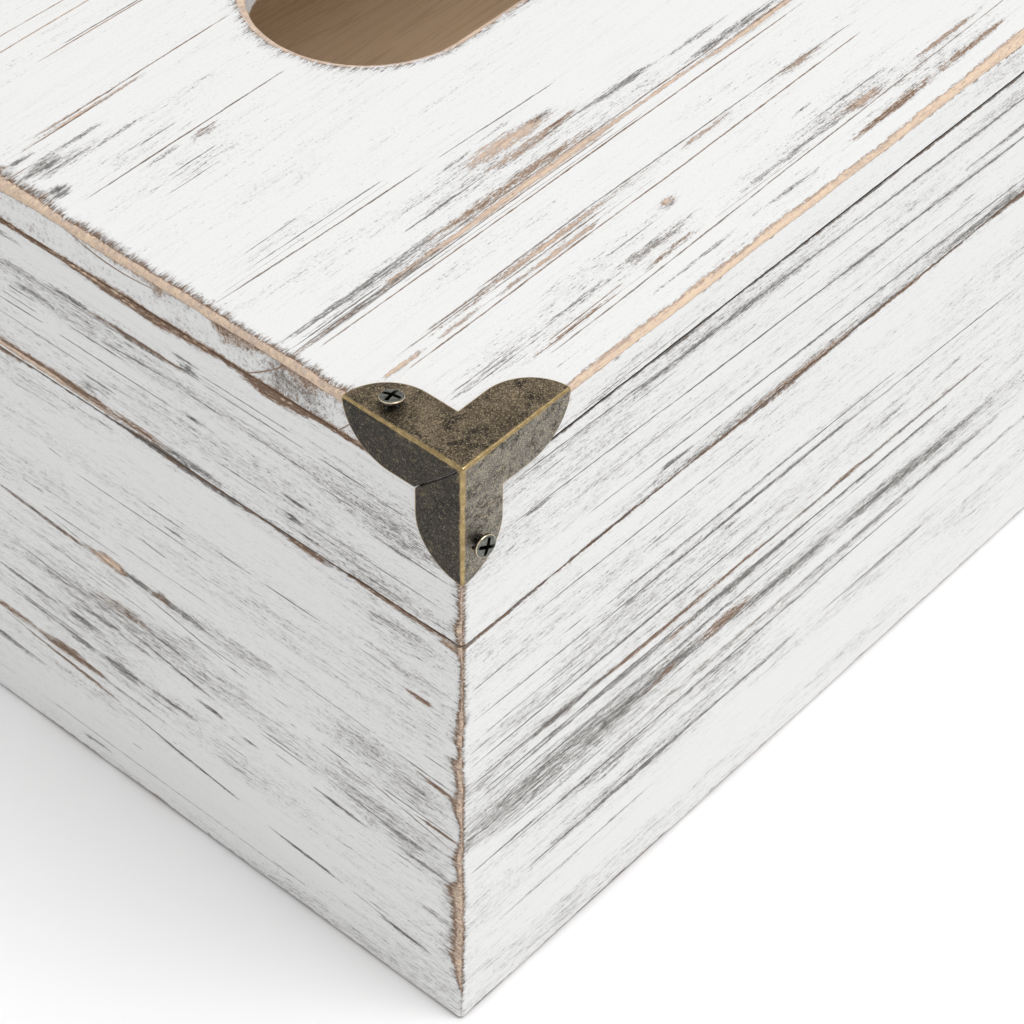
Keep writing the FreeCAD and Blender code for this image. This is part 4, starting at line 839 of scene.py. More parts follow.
def end_marks(seed, near=True):
    """An end of the box. near: the one in the photo."""
    m = Marks(seed, -0.04, 0.30)
    if not near:
        scatter(m, seed + 5, -80, 80, 2, 107, 0.02, 1.1, 1.1)
        m.spot(-20, 30, 32, 2.2, 0.85, 0.4, 0.02)
        return m

    def F(a):
        """Row Y of a place counted in legs towards the near corner, which is at 5.1."""
        return Y(5.1 - a)
    place(m, F, Z, cracks=(
        (2.7, -0.64, 3.8, -0.64, 0.6, 0.1), (2.75, -0.71, 3.8, -0.712, 0.75, 0.1), (3.85, -0.71, 4.3, -0.712, 0.8, 0.1), (4.38, -0.747, 4.62, -0.745, 0.95, 0.1), (0.6, -0.745, 2.7, -0.73, 0.5, 0.12),
        (0.85, -0.945, 1.25, -0.935, 0.8, 0.1), (1.0, -0.875, 1.3, -0.87, 0.7, 0.1), (1.8, -0.91, 2.5, -0.865, 0.85, 0.12), (2.6, -0.885, 3.0, -0.895, 0.8, 0.1), (3.1, -0.897, 3.85, -0.895, 0.6, 0.1),
        (1.45, -0.953, 2.15, -0.955, 0.7, 0.1), (3.8, -0.965, 4.2, -0.963, 0.75, 0.1), (4.45, -0.942, 4.65, -0.942, 0.95, 0.1), (0.8, -1.03, 1.25, -1.032, 0.7, 0.1), (0.75, -1.10, 1.3, -1.095, 0.8, 0.12), (1.2, -1.105, 2.7, -1.108, 0.6, 0.1),
        (4.2, -1.10, 5.05, -1.10, 0.9, 0.12), (2.2, -1.178, 2.35, -1.177, 0.7, 0.1), (3.5, -1.25, 3.75, -1.25, 0.95, 0.1), (1.6, -1.34, 1.95, -1.335, 0.85, 0.1), (2.8, -1.345, 3.5, -1.345, 0.6, 0.1), (3.7, -1.352, 5.0, -1.36, 0.45, 0.1),
        (1.5, -1.41, 1.8, -1.405, 0.7, 0.1), (0.5, -1.24, 2.0, -1.24, 0.35, 0.1), (2.2, -1.52, 2.9, -1.53, 0.8, 0.15), (4.1, -1.51, 4.65, -1.515, 0.8, 0.12), (4.7, -1.53, 5.0, -1.53, 0.6, 0.15), (1.65, -1.705, 1.9, -1.707, 0.95, 0.1),
        (2.0, -2.24, 2.55, -2.24, 0.7, 0.1), (2.8, -2.237, 3.2, -2.237, 0.6, 0.1), (3.25, -2.24, 3.85, -2.243, 0.9, 0.12), (4.0, -2.245, 4.6, -2.25, 0.4, 0.1), (1.05, -2.315, 1.3, -2.335, 0.6, 0.1), (2.3, -2.337, 2.5, -2.34, 0.95, 0.12),
        (1.2, -2.395, 2.9, -2.40, 0.6, 0.1), (2.0, -2.63, 2.3, -2.655, 0.75, 0.1), (0.75, -2.845, 1.05, -2.845, 0.7, 0.1), (1.5, -2.84, 3.0, -2.845, 0.35, 0.1), (4.65, -2.875, 5.05, -2.875, 0.7, 0.15),
        (0.9, -2.985, 1.9, -2.98, 0.7, 0.12), (1.05, -3.03, 2.0, -3.20, 0.7, 0.2), (1.9, -3.18, 2.9, -3.35, 0.9, 0.25), (2.5, -3.29, 3.2, -3.29, 0.5, 0.1), (2.8, -3.35, 3.0, -3.365, 0.95, 0.1), (3.2, -3.355, 3.5, -3.355, 0.6, 0.1),
        (4.4, -3.045, 5.05, -3.065, 0.75, 0.2), (4.6, -3.085, 5.05, -3.15, 1.0, 0.35), (3.75, -3.495, 4.2, -3.525, 1.0, 0.25), (4.1, -3.52, 5.05, -3.685, 1.0, 0.3), (4.3, -3.52, 5.05, -3.525, 0.95, 0.2), (4.6, -3.565, 5.05, -3.57, 1.0, 0.3),
        (3.4, -3.51, 3.6, -3.515, 0.7, 0.1), (2.0, -3.585, 2.45, -3.60, 1.0, 0.12), (0.45, -3.60, 1.8, -3.69, 0.85, 0.2), (1.7, -3.70, 2.75, -3.86, 1.0, 0.25), (3.05, -3.85, 3.75, -3.855, 0.75, 0.1), (3.8, -3.83, 4.75, -3.925, 0.95, 0.15),
        (3.2, -3.965, 3.5, -3.97, 0.6, 0.1), (3.6, -4.03, 4.2, -4.07, 1.0, 0.2), (4.4, -4.035, 5.05, -4.045, 0.95, 0.15), (4.4, -4.12, 4.65, -4.125, 0.8, 0.1), (0.35, -4.16, 1.4, -4.175, 0.7, 0.1), (0.4, -4.20, 1.6, -4.225, 0.7, 0.1),
        (1.95, -4.225, 2.5, -4.22, 0.8, 0.1), (1.9, -4.31, 2.3, -4.31, 0.6, 0.1), (2.6, -4.235, 3.0, -4.245, 0.5, 0.1), (2.6, -4.45, 3.1, -4.455, 0.6, 0.1), (0.3, -4.52, 1.7, -4.655, 0.95, 0.3), (1.6, -4.65, 2.95, -4.81, 1.0, 0.2),
        (3.1, -4.85, 3.95, -4.905, 1.0, 0.2), (3.9, -4.90, 5.0, -5.02, 0.5, 0.15), (4.25, -4.97, 4.75, -4.985, 1.0, 0.12), (4.2, -4.885, 4.45, -4.89, 0.7, 0.1), (1.1, -5.35, 1.5, -5.34, 0.7, 0.1), (1.6, -5.03, 1.85, -5.03, 0.5, 0.1),
        (0.5, -3.36, 2.6, -3.40, 0.3, 0.1), (3.2, -2.98, 4.6, -3.02, 0.35, 0.1), (0.5, -5.24, 3.6, -5.26, 0.35, 0.1), (3.1, -5.24, 3.6, -5.25, 0.5, 0.1),
    ), bands=(
        (1.35, -0.7, 1.75, -0.7, 0.55, 0.87, 0.15), (1.75, -0.71, 2.62, -0.71, 0.5, 1.02, 0.32), (0.7, -0.72, 1.4, -0.715, 0.35, 0.52, 0.12), (1, -0.87, 1.35, -0.87, 0.5, 0.57, 0.1), (2.55, -0.6, 2.75, -0.605, 0.3, 0.92, 0.1),
        (2.58, -1.09, 2.8, -1.085, 0.38, 1.07, 0.12), (3.55, -1.25, 3.73, -1.25, 0.3, 1.02, 0.1), (4.35, -1.095, 4.7, -1.1, 0.4, 0.82, 0.12), (1.62, -1.335, 1.92, -1.33, 0.28, 0.87, 0.1), (1.55, -1.41, 1.8, -1.405, 0.45, 0.77, 0.1),
        (0.5, -1.525, 1.95, -1.53, 0.7, 1.07, 0.4), (0.5, -1.55, 1.9, -1.555, 0.45, 1.07, 0.62), (1.9, -1.525, 2.35, -1.53, 0.62, 0.97, 0.42), (2.3, -1.53, 2.95, -1.54, 0.5, 0.77, 0.15), (4.1, -1.512, 4.6, -1.515, 0.35, 0.82, 0.1),
        (2.4, -1.625, 3.2, -1.625, 0.45, 0.92, 0.12), (3.58, -1.635, 3.93, -1.635, 0.5, 1.22, 0.38), (4.1, -1.615, 5, -1.62, 0.4, 0.92, 0.4), (2.32, -2.338, 2.48, -2.338, 0.32, 1.07, 0.12),
        (0.5, -3.08, 1.4, -3.13, 0.5, 1.02, 0.3), (0.4, -3.98, 1.05, -3.99, 0.42, 0.92, 0.12), (4.75, -3.12, 5.06, -3.145, 0.45, 1.07, 0.4), (4.7, -3.56, 5.06, -3.565, 0.45, 1.07, 0.4), (2, -3.58, 2.42, -3.6, 0.35, 0.92, 0.12),
        (1.7, -3.72, 2.7, -3.85, 0.32, 0.87, 0.2), (1.75, -3.84, 2.05, -3.845, 0.4, 0.82, 0.1), (3.1, -3.8, 3.6, -3.8, 0.4, 0.57, 0.1), (3.7, -4.035, 4.15, -4.065, 0.35, 0.92, 0.15), (4.5, -4.04, 5, -4.04, 0.45, 0.92, 0.12),
        (0.7, -4.475, 1.5, -4.48, 0.75, 1.07, 0.36), (0.2, -4.46, 0.75, -4.47, 0.9, 0.82, 0.38), (1.4, -4.5, 2.2, -4.51, 0.35, 0.72, 0.12), (0.6, -4.56, 1.6, -4.64, 0.45, 0.92, 0.36), (1.95, -4.225, 2.5, -4.22, 0.42, 0.77, 0.1),
        (2, -4.72, 2.9, -4.8, 0.35, 0.92, 0.15), (3.15, -4.86, 3.9, -4.9, 0.35, 0.97, 0.15), (4.28, -4.975, 4.72, -4.98, 0.35, 0.97, 0.1), (0.5, -4.18, 1.4, -4.2, 0.5, 0.62, 0.1), (1.1, -5.35, 1.5, -5.34, 0.4, 0.77, 0.1),
    ), spots=(
        (2.69, -0.67, 0.1, 0.05, 1.02, 0.15), (1.66, -1.44, 0.12, 0.034, 0.77, 0.1), (1.95, -1.27, 0.05, 0.022, 0.77, 0.1), (3.62, -1.42, 0.07, 0.034, 1.07, 0.1), (3.77, -1.4, 0.05, 0.013, 1.07, 0.1), (3.75, -1.51, 0.08, 0.025, 1.07, 0.2),
        (4.69, -2.347, 0.14, 0.030, 1.20, 0.42), (4.95, -1.66, 0.08, 0.034, 1.07, 0.5),
        (1.66, -3.11, 0.22, 0.056, 1.22, 0.6), (1.98, -3.12, 0.16, 0.031, 1.07, 0.15), (2.22, -3.12, 0.13, 0.056, 1.12, 0.35), (2.45, -3.13, 0.15, 0.043, 0.87, 0.12), (1.7, -3.25, 0.12, 0.034, 0.67, 0.1),
        (3.1, -3.1, 0.35, 0.078, 0.43, 0.1), (4.12, -3.23, 0.28, 0.112, 0.51, 0.1), (4.63, -3.32, 0.2, 0.09, 0.49, 0.1), (4.05, -3.62, 0.15, 0.067, 0.42, 0.1), (2.5, -3.4, 0.2, 0.067, 0.37, 0.1),
        (1.78, -3.545, 0.28, 0.056, 0.92, 0.3), (1.52, -3.82, 0.24, 0.034, 0.97, 0.15), (1.25, -3.77, 0.12, 0.022, 0.77, 0.1), (4.54, -3.9, 0.18, 0.039, 0.99, 0.15), (1.27, -3.985, 0.2, 0.039, 0.99, 0.15),
        (2.62, -3.98, 0.1, 0.031, 1.22, 0.12), (3.02, -4.04, 0.08, 0.022, 1.17, 0.12), (1.25, -4.235, 0.16, 0.039, 1.07, 0.18), (1.68, -4.24, 0.22, 0.067, 0.92, 0.12), (1.05, -4.44, 0.2, 0.045, 1.07, 0.38), (4.85, -4.5, 0.2, 0.034, 0.52, 0.1),
    ), zones=(
        (2, -0.85, 2, 0.25, 0.31), (4.3, -0.85, 0.8, 0.35, 0.28), (3.2, -1.3, 1.6, 0.25, 0.23), (4.2, -1.5, 0.9, 0.12, 0.34), (2.6, -1.58, 1, 0.1, 0.34), (4.5, -2, 0.5, 0.3, 0.26), (4.4, -3.25, 0.9, 0.3, 0.36),
        (2, -3.2, 1.5, 0.25, 0.26), (1.8, -3.6, 1.4, 0.22, 0.34), (4.3, -3.85, 0.8, 0.2, 0.36), (1.3, -4.2, 1.3, 0.25, 0.34), (3.2, -2, 2.2, 0.35, -0.08), (2.6, -5, 2.6, 0.5, -0.22), (3.2, -4.5, 1.5, 0.3, -0.1), (2, -0.5, 2, 0.12, -0.15),
    ))
    scatter(m, seed + 1, Y(4.8), 80, 2, 107, 0.03, 0.9, 0.8)
    return m


# ------------------------------------------------------------------ boards
def corner_edge(seed, clumps=None):
    """The worn upright edge between two walls: radius, reach of the wear on each side.
    clumps: height, half length and reach of the worn places on the end wall's side."""
    def radius(t):
        return 0.55 + 0.6 * waves(seed, t, 9, 4, 0.6)

    def width(side):
        def of(t):
            patch = np.clip(1.9 * waves(seed + 11 + side, t, 8, 4, 0.65) - 0.55, 0, 1)
            if clumps is None:
                return (0.42 + (1.5 if side >= 2 else 0.9) * patch) * np.clip((t - 1) / 9, 0.35, 1)
            if side < 2:
                return (0.50 + 0.75 * patch) * np.clip((t - 1) / 9, 0.35, 1)
            jag = 0.60 + 0.8 * waves(seed + 31, t, 2.4, 3, 0.7)
            reach = sum(w * np.exp(-((t - z) / h) ** 2) for z, h, w in clumps)
            return (0.62 + 0.3 * patch + reach * jag) * np.clip((t - 4) / 5, 0.35, 1)
        return of
    return radius, width


CLUMPS = ((97, 9, 0.7), (84.6, 1.6, 1.5), (81.2, 1.5, 1.5), (65.5, 3.6, 0.9), (62.8, 1.3, 1.1), (57.3, 2.4, 1.8), (52.5, 4.5, 0.9),
          (48.3, 2.2, 2.2), (36.5, 3.2, 1.7), (29.6, 2.3, 2.8), (25.0, 4.6, 2.3), (15.0, 5.0, 3.2))
CORNERS = {(-1, -1): corner_edge(501, CLUMPS), (-1, 1): corner_edge(521), (1, -1): corner_edge(541), (1, 1): corner_edge(561)}


def ends_of(near, far, a, b):
    """The (radius, width) pairs of a board's two ends."""
    return [(CORNERS[key][0], CORNERS[key][1](side)) for key, side in ((near, a), (far, b))]


def side_slope(s, t):
    return -0.02 * s


near_side, far_side = side_marks(200), side_marks(240, False)
near_end, far_end = end_marks(300), end_marks(340, False)
front_marks = Marks(380, -0.08, 0.28)
scatter(front_marks, 381, -72, 72, 6, 81, 0.01, 1.0, 1.0)
rail_marks = Marks(390, -0.08, 0.28)
scatter(rail_marks, 391, -80, 80, 82, 107, -0.01, 1.0, 1.0)

# Paint fills part of the glued seams, so the planks come closer here than the bare boards do.
UP0, UP1, LOW1 = JOINT, HIGH - BOARD - 0.3 * SEAM, JOINT - 0.45 * SEAM


def seam_wear(seed, base, swell):
    """Reach of the wear along a seam, wide in a few places."""
    def of(s):
        return base + swell * np.clip(waves(seed, s, 17, 4, 0.6) * 2.6 - 1.2, 0, 1)
    return of


def lip_wear(s):
    """The end plank's upper edge, chipped under the top board in two places."""
    a = 5.1 - (s + APEX[1]) / LEG
    chip = np.exp(-((a - 2.45) / 0.42) ** 4) * 0.95 + np.exp(-((a - 3.5) / 0.30) ** 4) * 1.15 + 0.45 * np.exp(-((a - 1.9) / 0.2) ** 2)
    jag = 0.55 + 0.9 * waves(877, s, 2.6, 3, 0.7)
    return 0.35 + 1.25 * chip * jag


plank("left_upper_plank_skin", "case", "X", -HALF_Y, 1, -HALF_X, HALF_X, UP0, UP1, near_side,
      corner=ends_of((-1, -1), (1, -1), 0, 1), low_wear=(seam_wear(861, 0.08, 0.5), 0.24), top_wear=(seam_wear(862, 0.12, 0.3), 0.2), low=0.24, top=0.22,
      shift=(17, 3, 40), slope=side_slope, materials=BOARD_MATERIALS, nodes=["left_upper_plank"])
plank("left_lower_plank_skin", "case", "X", -HALF_Y, 1, -HALF_X, HALF_X, 0, LOW1, near_side, ends=("mitre", "square"),
      corner=ends_of((-1, -1), (1, -1), 0, 1), low_wear=(seam_wear(863, 0.20, 0.45), 0.30), top_wear=(seam_wear(864, 0.08, 0.55), 0.36), low=0.5, top=0.26,
      shift=(211, 9, 71), slope=side_slope, materials=BOARD_MATERIALS, nodes=["left_lower_plank"])
plank("right_upper_plank_skin", "case", "X", HALF_Y, -1, -HALF_X, HALF_X, UP0, UP1, far_side, rows=0.33,
      corner=ends_of((-1, 1), (1, 1), 0, 1), low_wear=(seam_wear(865, 0.26, 0.6), 0.35), top_wear=(seam_wear(866, 0.35, 0.5), 0.4), low=0.26, top=0.25,
      shift=(417, 23, 13), slope=side_slope, materials=BOARD_MATERIALS, nodes=["right_upper_plank"])
plank("right_lower_plank_skin", "case", "X", HALF_Y, -1, -HALF_X, HALF_X, 0, LOW1, far_side, rows=0.33, ends=("mitre", "square"),
      corner=ends_of((-1, 1), (1, 1), 0, 1), low_wear=(seam_wear(867, 0.20, 0.45), 0.30), top_wear=(seam_wear(868, 0.35, 0.7), 0.4), low=0.5, top=0.26,
      shift=(619, 31, 57), slope=side_slope, materials=BOARD_MATERIALS, nodes=["right_lower_plank"])
plank("back_upper_plank_skin", "case", "Y", -HALF_X, 1, -HALF_Y, HALF_Y, UP0, UP1, near_end, columns=2.4,
      corner=ends_of((-1, -1), (-1, 1), 2, 3), low_wear=(seam_wear(869, 0.05, 0.55), 0.26), top_wear=(lip_wear, 0.42), low=0.25, top=0.30,
      shift=(811, 43, 29), materials=BOARD_MATERIALS, nodes=["back_upper_plank"])
plank("back_lower_plank_skin", "case", "Y", -HALF_X, 1, -HALF_Y, HALF_Y, 0, LOW1, near_end, columns=2.4,
      corner=ends_of((-1, -1), (-1, 1), 2, 3), low_wear=(seam_wear(870, 0.20, 0.45), 0.30), top_wear=(seam_wear(871, 0.05, 0.55), 0.36), low=0.5, top=0.26,
      shift=(1013, 51, 83), materials=BOARD_MATERIALS, nodes=["back_lower_plank"])
plank("front_rail_skin", "case", "Y", HALF_X, -1, -HALF_Y, HALF_Y, UP0, UP1, rail_marks, rows=0.33, columns=2.8,
      corner=ends_of((1, -1), (1, 1), 2, 3), low_wear=(seam_wear(872, 1.2, 1.0), 0.85), top_wear=(seam_wear(873, 0.4, 0.6), 0.45), low=0.6, top=0.3,
      shift=(1217, 61, 37), slope=lambda s, t: 0.01 * s, materials=BOARD_MATERIALS, nodes=["front_rail"])
loose = (lambda t: 0.45 + 0.4 * waves(602, t, 8, 3), lambda t: 1.0 + 1.6 * waves(605, t, 7, 4, 0.65))
loose_b = (lambda t: 0.45 + 0.4 * waves(612, t, 8, 3), lambda t: 1.0 + 1.6 * waves(615, t, 7, 4, 0.65))
plank("drawer_front_skin", "drawer", "Y", HALF_X, -1, -72.0, 72.0, 5.5, 81.1, front_marks, rows=0.33, columns=2.8,
      ends=("square", "square"), corner=[loose, loose_b], low_wear=(seam_wear(874, 1.2, 1.0), 0.85), top_wear=(seam_wear(875, 1.3, 1.1), 0.9), low=0.6, top=0.6,
      shift=(1423, 67, 11), slope=lambda s, t: -0.01 * s, materials=BOARD_MATERIALS, nodes=["drawer_front"])


def top_board():
    """The lid: its face, its four worn edges and the slot are one sheet."""
    m = top_marks()
    reach, band = 18.2, 1.7
    round_r, mid = reach + band, 65.1
    angles = np.radians(np.linspace(-90, 90, 141))
    inside_rows = round_r * np.sin(angles)
    low_rows = -HALF_Y + stations(HALF_Y - round_r, 0.335, NEAR[:13], np.array([0, 0.335]), 1.4)
    up_rows = HALF_Y - stations(HALF_Y - round_r, 0.48, NEAR[:13], np.array([0, 0.48]), 1.4)[::-1]
    left_cols = stations(HALF_X - mid, 3.0, NEAR, np.array([0, 3.0]))
    left_cols = -HALF_X + left_cols
    mid_cols = evenly(-mid, mid, 3.3)[1:-1]
    right_cols = -left_cols[::-1]
    nl = len(left_cols)
    all_cols = np.concatenate([left_cols, mid_cols, right_cols])
    shell = Shell()

    def edge_ease(x, y):
        """Easing radius of the arris nearest to a place on the face."""
        return (0.55 + 0.75 * waves(701, x, 13, 4, 0.6), 0.55 + 0.75 * waves(705, y, 11, 4, 0.6))

    def long_width(x, side):
        base = 0.30 + 0.95 * waves(711 + side, x, 11, 4, 0.65)
        if side == 0:
            base = base + 1.3 * np.clip((x - X(4.4)) / 34, 0, 1)
        return base

    def end_width(y, side):
        """How far the paint is broken back from the end arris."""
        fine = waves(721 + 9 * side, y, 4.5, 4, 0.7)
        swell = waves(725 + 9 * side, y, 22, 2)
        if side == 0:
            swell = 0.35 * swell + 1.5 * np.exp(-((y - Y(4.1)) / 9.0) ** 2)
        return 1.0 + 1.35 * fine + 1.0 * swell

    def ring_state(d, x, y):
        """Worn rim of the slot: a clean band, then a grey ragged outline."""
        spread = 2.35 + 0.9 * (waves(741, x * 0.7 + y, 7, 3) - 0.5)
        worn = 1.55 * (1 - d / spread)
        kept = np.clip(waves(743, x - y * 0.6, 10, 3, 0.6) * 2.6 - 1.15, 0, 1)
        worn = worn - 0.9 * kept * np.exp(-((d - 1.22) / 0.16) ** 2)
        return worn, 0.92 - 0.70 * np.clip((d - 1.15) / 0.45, 0, 1)

    def face_state(x, y):
        wear, bare, cracks = m.read(x, y)
        rag = np.zeros(x.shape)
        for e, width, soft in ((y + HALF_Y, long_width(x, 0), 0.51), (HALF_Y - y, long_width(x, 1), 0.51),
                               (x + HALF_X, end_width(y, 0), 0.35), (HALF_X - x, end_width(y, 1), 0.35)):
            value, worn_bare = rubbed(e, width, 1.5, 0.75) if soft > 0.5 else rubbed(e, 1.12 * width, 1.42)
            if soft > 0.5:
                worn_bare = np.maximum(worn_bare, 0.62)
            else:
                worn_bare = 0.95 - 0.70 * np.clip((e / width - 0.14) / 0.34, 0, 1)
            bare = np.where(value > wear, worn_bare, bare)
            wear = np.maximum(wear, value)
            rag = np.maximum(rag, soft * np.clip(1.3 - e / (width + 0.6), 0, 1))
        d = np.hypot(np.maximum(np.abs(x) - mid, 0), y) - reach
        ring, ring_bare = ring_state(np.maximum(d, 0), x, y)
        take = (d < 4) & (ring > wear)
        bare = np.where(take, ring_bare, bare)
        wear = np.where(take, ring, wear)
        return wear, bare, rag, cracks

    def face_place(x, y, wear):
        rx, ry = edge_ease(x, y)
        drop = (rounding(np.minimum(y + HALF_Y, HALF_Y - y), rx) + rounding(np.minimum(x + HALF_X, HALF_X - x), ry)
                + 0.07 * np.clip(wear - 0.55, 0, 0.6) / 0.6)
        return np.stack([x, y, HIGH - drop], axis=-1), drop

    def rows_of(y_values, x_grid):
        xx = np.asarray(x_grid)
        yy = np.broadcast_to(np.asarray(y_values)[:, None], xx.shape)
        wear, bare, rag, cracks = face_state(xx, yy)
        places, _ = face_place(xx, yy, wear)
        return shell.add(places, wear.ravel(), bare.ravel(), rag.ravel(), cracks).reshape(xx.shape)

    low = rows_of(low_rows, np.broadcast_to(all_cols, (len(low_rows), len(all_cols))))
    high = rows_of(up_rows, np.broadcast_to(all_cols, (len(up_rows), len(all_cols))))
    inner_y = inside_rows[1:-1]
    border = mid + np.sqrt(np.maximum(round_r ** 2 - inner_y ** 2, 0))
    squeeze = (HALF_X - border) / (HALF_X - mid)
    left_x = -HALF_X + (left_cols[None, :] + HALF_X) * squeeze[:, None]
    left = rows_of(inner_y, left_x)
    right = rows_of(inner_y, -left_x[:, ::-1])
    shell.quads(low)
    shell.quads(high)
    shell.quads(np.vstack([low[-1:, :nl], left, high[:1, :nl]]))
    shell.quads(np.vstack([low[-1:, -nl:], right, high[:1, -nl:]]))

    # Round the slot: the eased rim, its wall, and the lower edge.
    loop = np.concatenate([low[-1, nl - 1:-nl + 1], right[:, 0], high[0, nl - 1:-nl + 1][::-1], left[:, -1][::-1]])
    points = np.concatenate(shell.points)[loop]
    centre = np.stack([np.clip(points[:, 0], -mid, mid), np.zeros(len(points))], axis=1)
    way = points[:, :2] - centre
    way /= np.linalg.norm(way, axis=1)[:, None]
    along = np.arange(len(loop)) * 3.0
    rim = 1.10 + 0.35 * waves(751, along, 21, 3)
    rings = [loop]
    for e in (1.55, 1.42, 1.3, 1.2, 1.1, 0.95, 0.8, 0.65, 0.5, 0.37, 0.25, 0.15, 0.07, 0.02, 0.0):
        xy = centre + way * (reach + e)
        worn, tone = ring_state(np.full(len(loop), e), xy[:, 0], xy[:, 1])
        z = HIGH - rounding(e, rim) - 0.03 * np.clip((1.7 - e) / 0.6, 0, 1)
        rings.append(shell.add(np.c_[xy, z], np.maximum(worn, -0.2), tone, 0.25))
    top_z = HIGH - rim - 0.03
    for f in np.linspace(0, 1, 22)[1:]:
        z = top_z + (HIGH - BOARD + 0.3 - top_z) * f
        worn = -0.15 + 0.5 * (waves(761, along + 40 * f, 9, 3) - 0.5) + 1.6 * np.clip(1 - f * 5.5, 0, 1) + 1.3 * np.clip((f - 0.90) * 10, 0, 1)
        rings.append(shell.add(np.c_[centre + way * (reach + 0.05 * np.sin(f * 3)), z], worn, 0.62, 0.3))
    for e, z in ((0.1, 0.08), (0.3, 0.0)):
        rings.append(shell.add(np.c_[centre + way * (reach + e), np.full(len(loop), HIGH - BOARD + z)], 0.9, 0.7, 0.3))
    closed = np.array([np.append(r, r[0]) for r in rings])
    shell.quads(closed)
    hole = rings[-1]

    # The four outer edges of the board.
    side_left = np.concatenate([low[:, 0], left[:, 0], high[:, 0]])
    side_right = np.concatenate([low[:, -1], right[:, -1], high[:, -1]])
    edge = np.concatenate([low[0], side_right[1:-1], high[-1][::-1], side_left[1:-1][::-1]])
    p = np.concatenate(shell.points)[edge]
    out = np.stack([np.where(np.abs(np.abs(p[:, 0]) - HALF_X) < 1e-6, np.sign(p[:, 0]), 0),
                    np.where(np.abs(np.abs(p[:, 1]) - HALF_Y) < 1e-6, np.sign(p[:, 1]), 0)], axis=1)
    on_end = np.abs(out[:, 0]) > 0.5
    start = p[:, 2]
    foot = 0.22 + 0.25 * waves(771, p[:, 0] + 1.7 * p[:, 1], 6, 3)
    floor = HIGH - BOARD
    belt = [edge]
    levels = np.concatenate([np.linspace(0, 1, 24)[1:] * 0.93, [0.955, 0.975, 0.99, 1.0]])
    for f in levels:
        z = start + (floor - start) * f
        pull = rounding(z - floor, foot)
        below = HIGH - z
        # End grain: growth rings in section, pores, and rubbed places under the arris.
        y = p[:, 1]
        rings_r = np.hypot(y - Y(3.0), z - (HIGH + 1.47 * LEG))
        arc = (((rings_r - 1.60 * LEG + 0.35 * (waves(775, y, 9, 2) - 0.5)) / (0.52 * LEG) + 0.5) % 1.0 - 0.5) * 0.52 * LEG
        arcs = np.stack([arc, 0.75 * np.clip((1.5 - np.abs(arc)) / 0.5, 0, 1) * (0.5 + waves(776, y, 6, 2)), np.full(len(y), 0.42),
                         np.full(len(y), FAR), np.zeros(len(y)), np.zeros(len(y))], axis=1)
        near_end_face = p[:, 0] < 0
        specks = np.where(near_end_face, 0.55 * np.exp(-((y - Y(1.42)) / 6.5) ** 4), 0.25 * np.clip(waves(783, y, 14, 2) * 2 - 0.8, 0, 1))
        end_wear = 0.02 + 0.8 * (field(781, y, z, 5, 1.2, 3) - 0.5) + specks
        spread = np.clip(waves(785, y, 16, 3) * 1.9 - 0.75, 0, 1)
        zones = np.exp(-((y - Y(1.95)) / 4.6) ** 4) + np.exp(-((y - Y(1.38)) / 3.2) ** 4) + np.exp(-((y - Y(2.65)) / 1.3) ** 2)
        spread = np.where(near_end_face, 0.25 * spread + np.clip(zones, 0, 1) * (0.35 + 0.75 * waves(787, y, 5, 3)), spread)
        under_arris, under_bare = rubbed(below, 0.9 + 1.0 * waves(788, y, 6, 3) + 4.0 * spread, 1.35)
        end_bare = np.where(under_arris > end_wear, np.where(below < 0.32, 0.80, np.minimum(under_bare, 0.42)), 0.22)
        end_wear = np.maximum(end_wear, under_arris)
        low_edge, _ = rubbed(z - floor, 0.5 + 0.8 * waves(789, y, 5, 3), 1.2)
        end_bare = np.where(low_edge > end_wear, 0.42, end_bare)
        end_wear = np.maximum(end_wear, low_edge)
        # Long edge: a narrow worn arris, otherwise like the wall below it.
        x = p[:, 0]
        long_wear, long_bare, long_cracks = near_side.read(x, z)
        width = 0.25 + 0.9 * waves(791, x, 7, 4, 0.65)
        arris, arris_bare = rubbed(below, width, 1.5, 0.75)
        long_bare = np.where(arris > long_wear, arris_bare, long_bare)
        long_wear = np.maximum(long_wear, arris)
        low_edge, _ = rubbed(z - floor, 0.45, 0.9)
        long_wear = np.maximum(long_wear, low_edge)
        worn = np.where(on_end, end_wear, long_wear)
        tone = np.where(on_end, end_bare, long_bare)
        ragged = np.where(on_end, 0.3, 1.2 * np.clip(1.9 - below / (0.62 * width + 0.5), 0, 1))
        lines_here = np.where(on_end[:, None], arcs, long_cracks)
        relief = 0.06 * np.clip(worn - 0.55, 0, 0.6) / 0.6 * np.clip(f * 6, 0, 1)
        inset = pull + relief
        xy = p[:, :2] - out * inset[:, None]
        belt.append(shell.add(np.c_[xy, z], worn, tone, ragged, lines_here))
    closed = np.array([np.append(r, r[0]) for r in belt])
    first_end = len(low[0]) - 1
    total = len(edge)
    count_side = len(side_right) - 1
    for a, b, slot in ((0, first_end, 0), (first_end, first_end + count_side, 2),
                       (first_end + count_side, 2 * first_end + count_side, 0), (2 * first_end + count_side, total, 2)):
        shell.quads(closed[:, a:b + 1], slot)

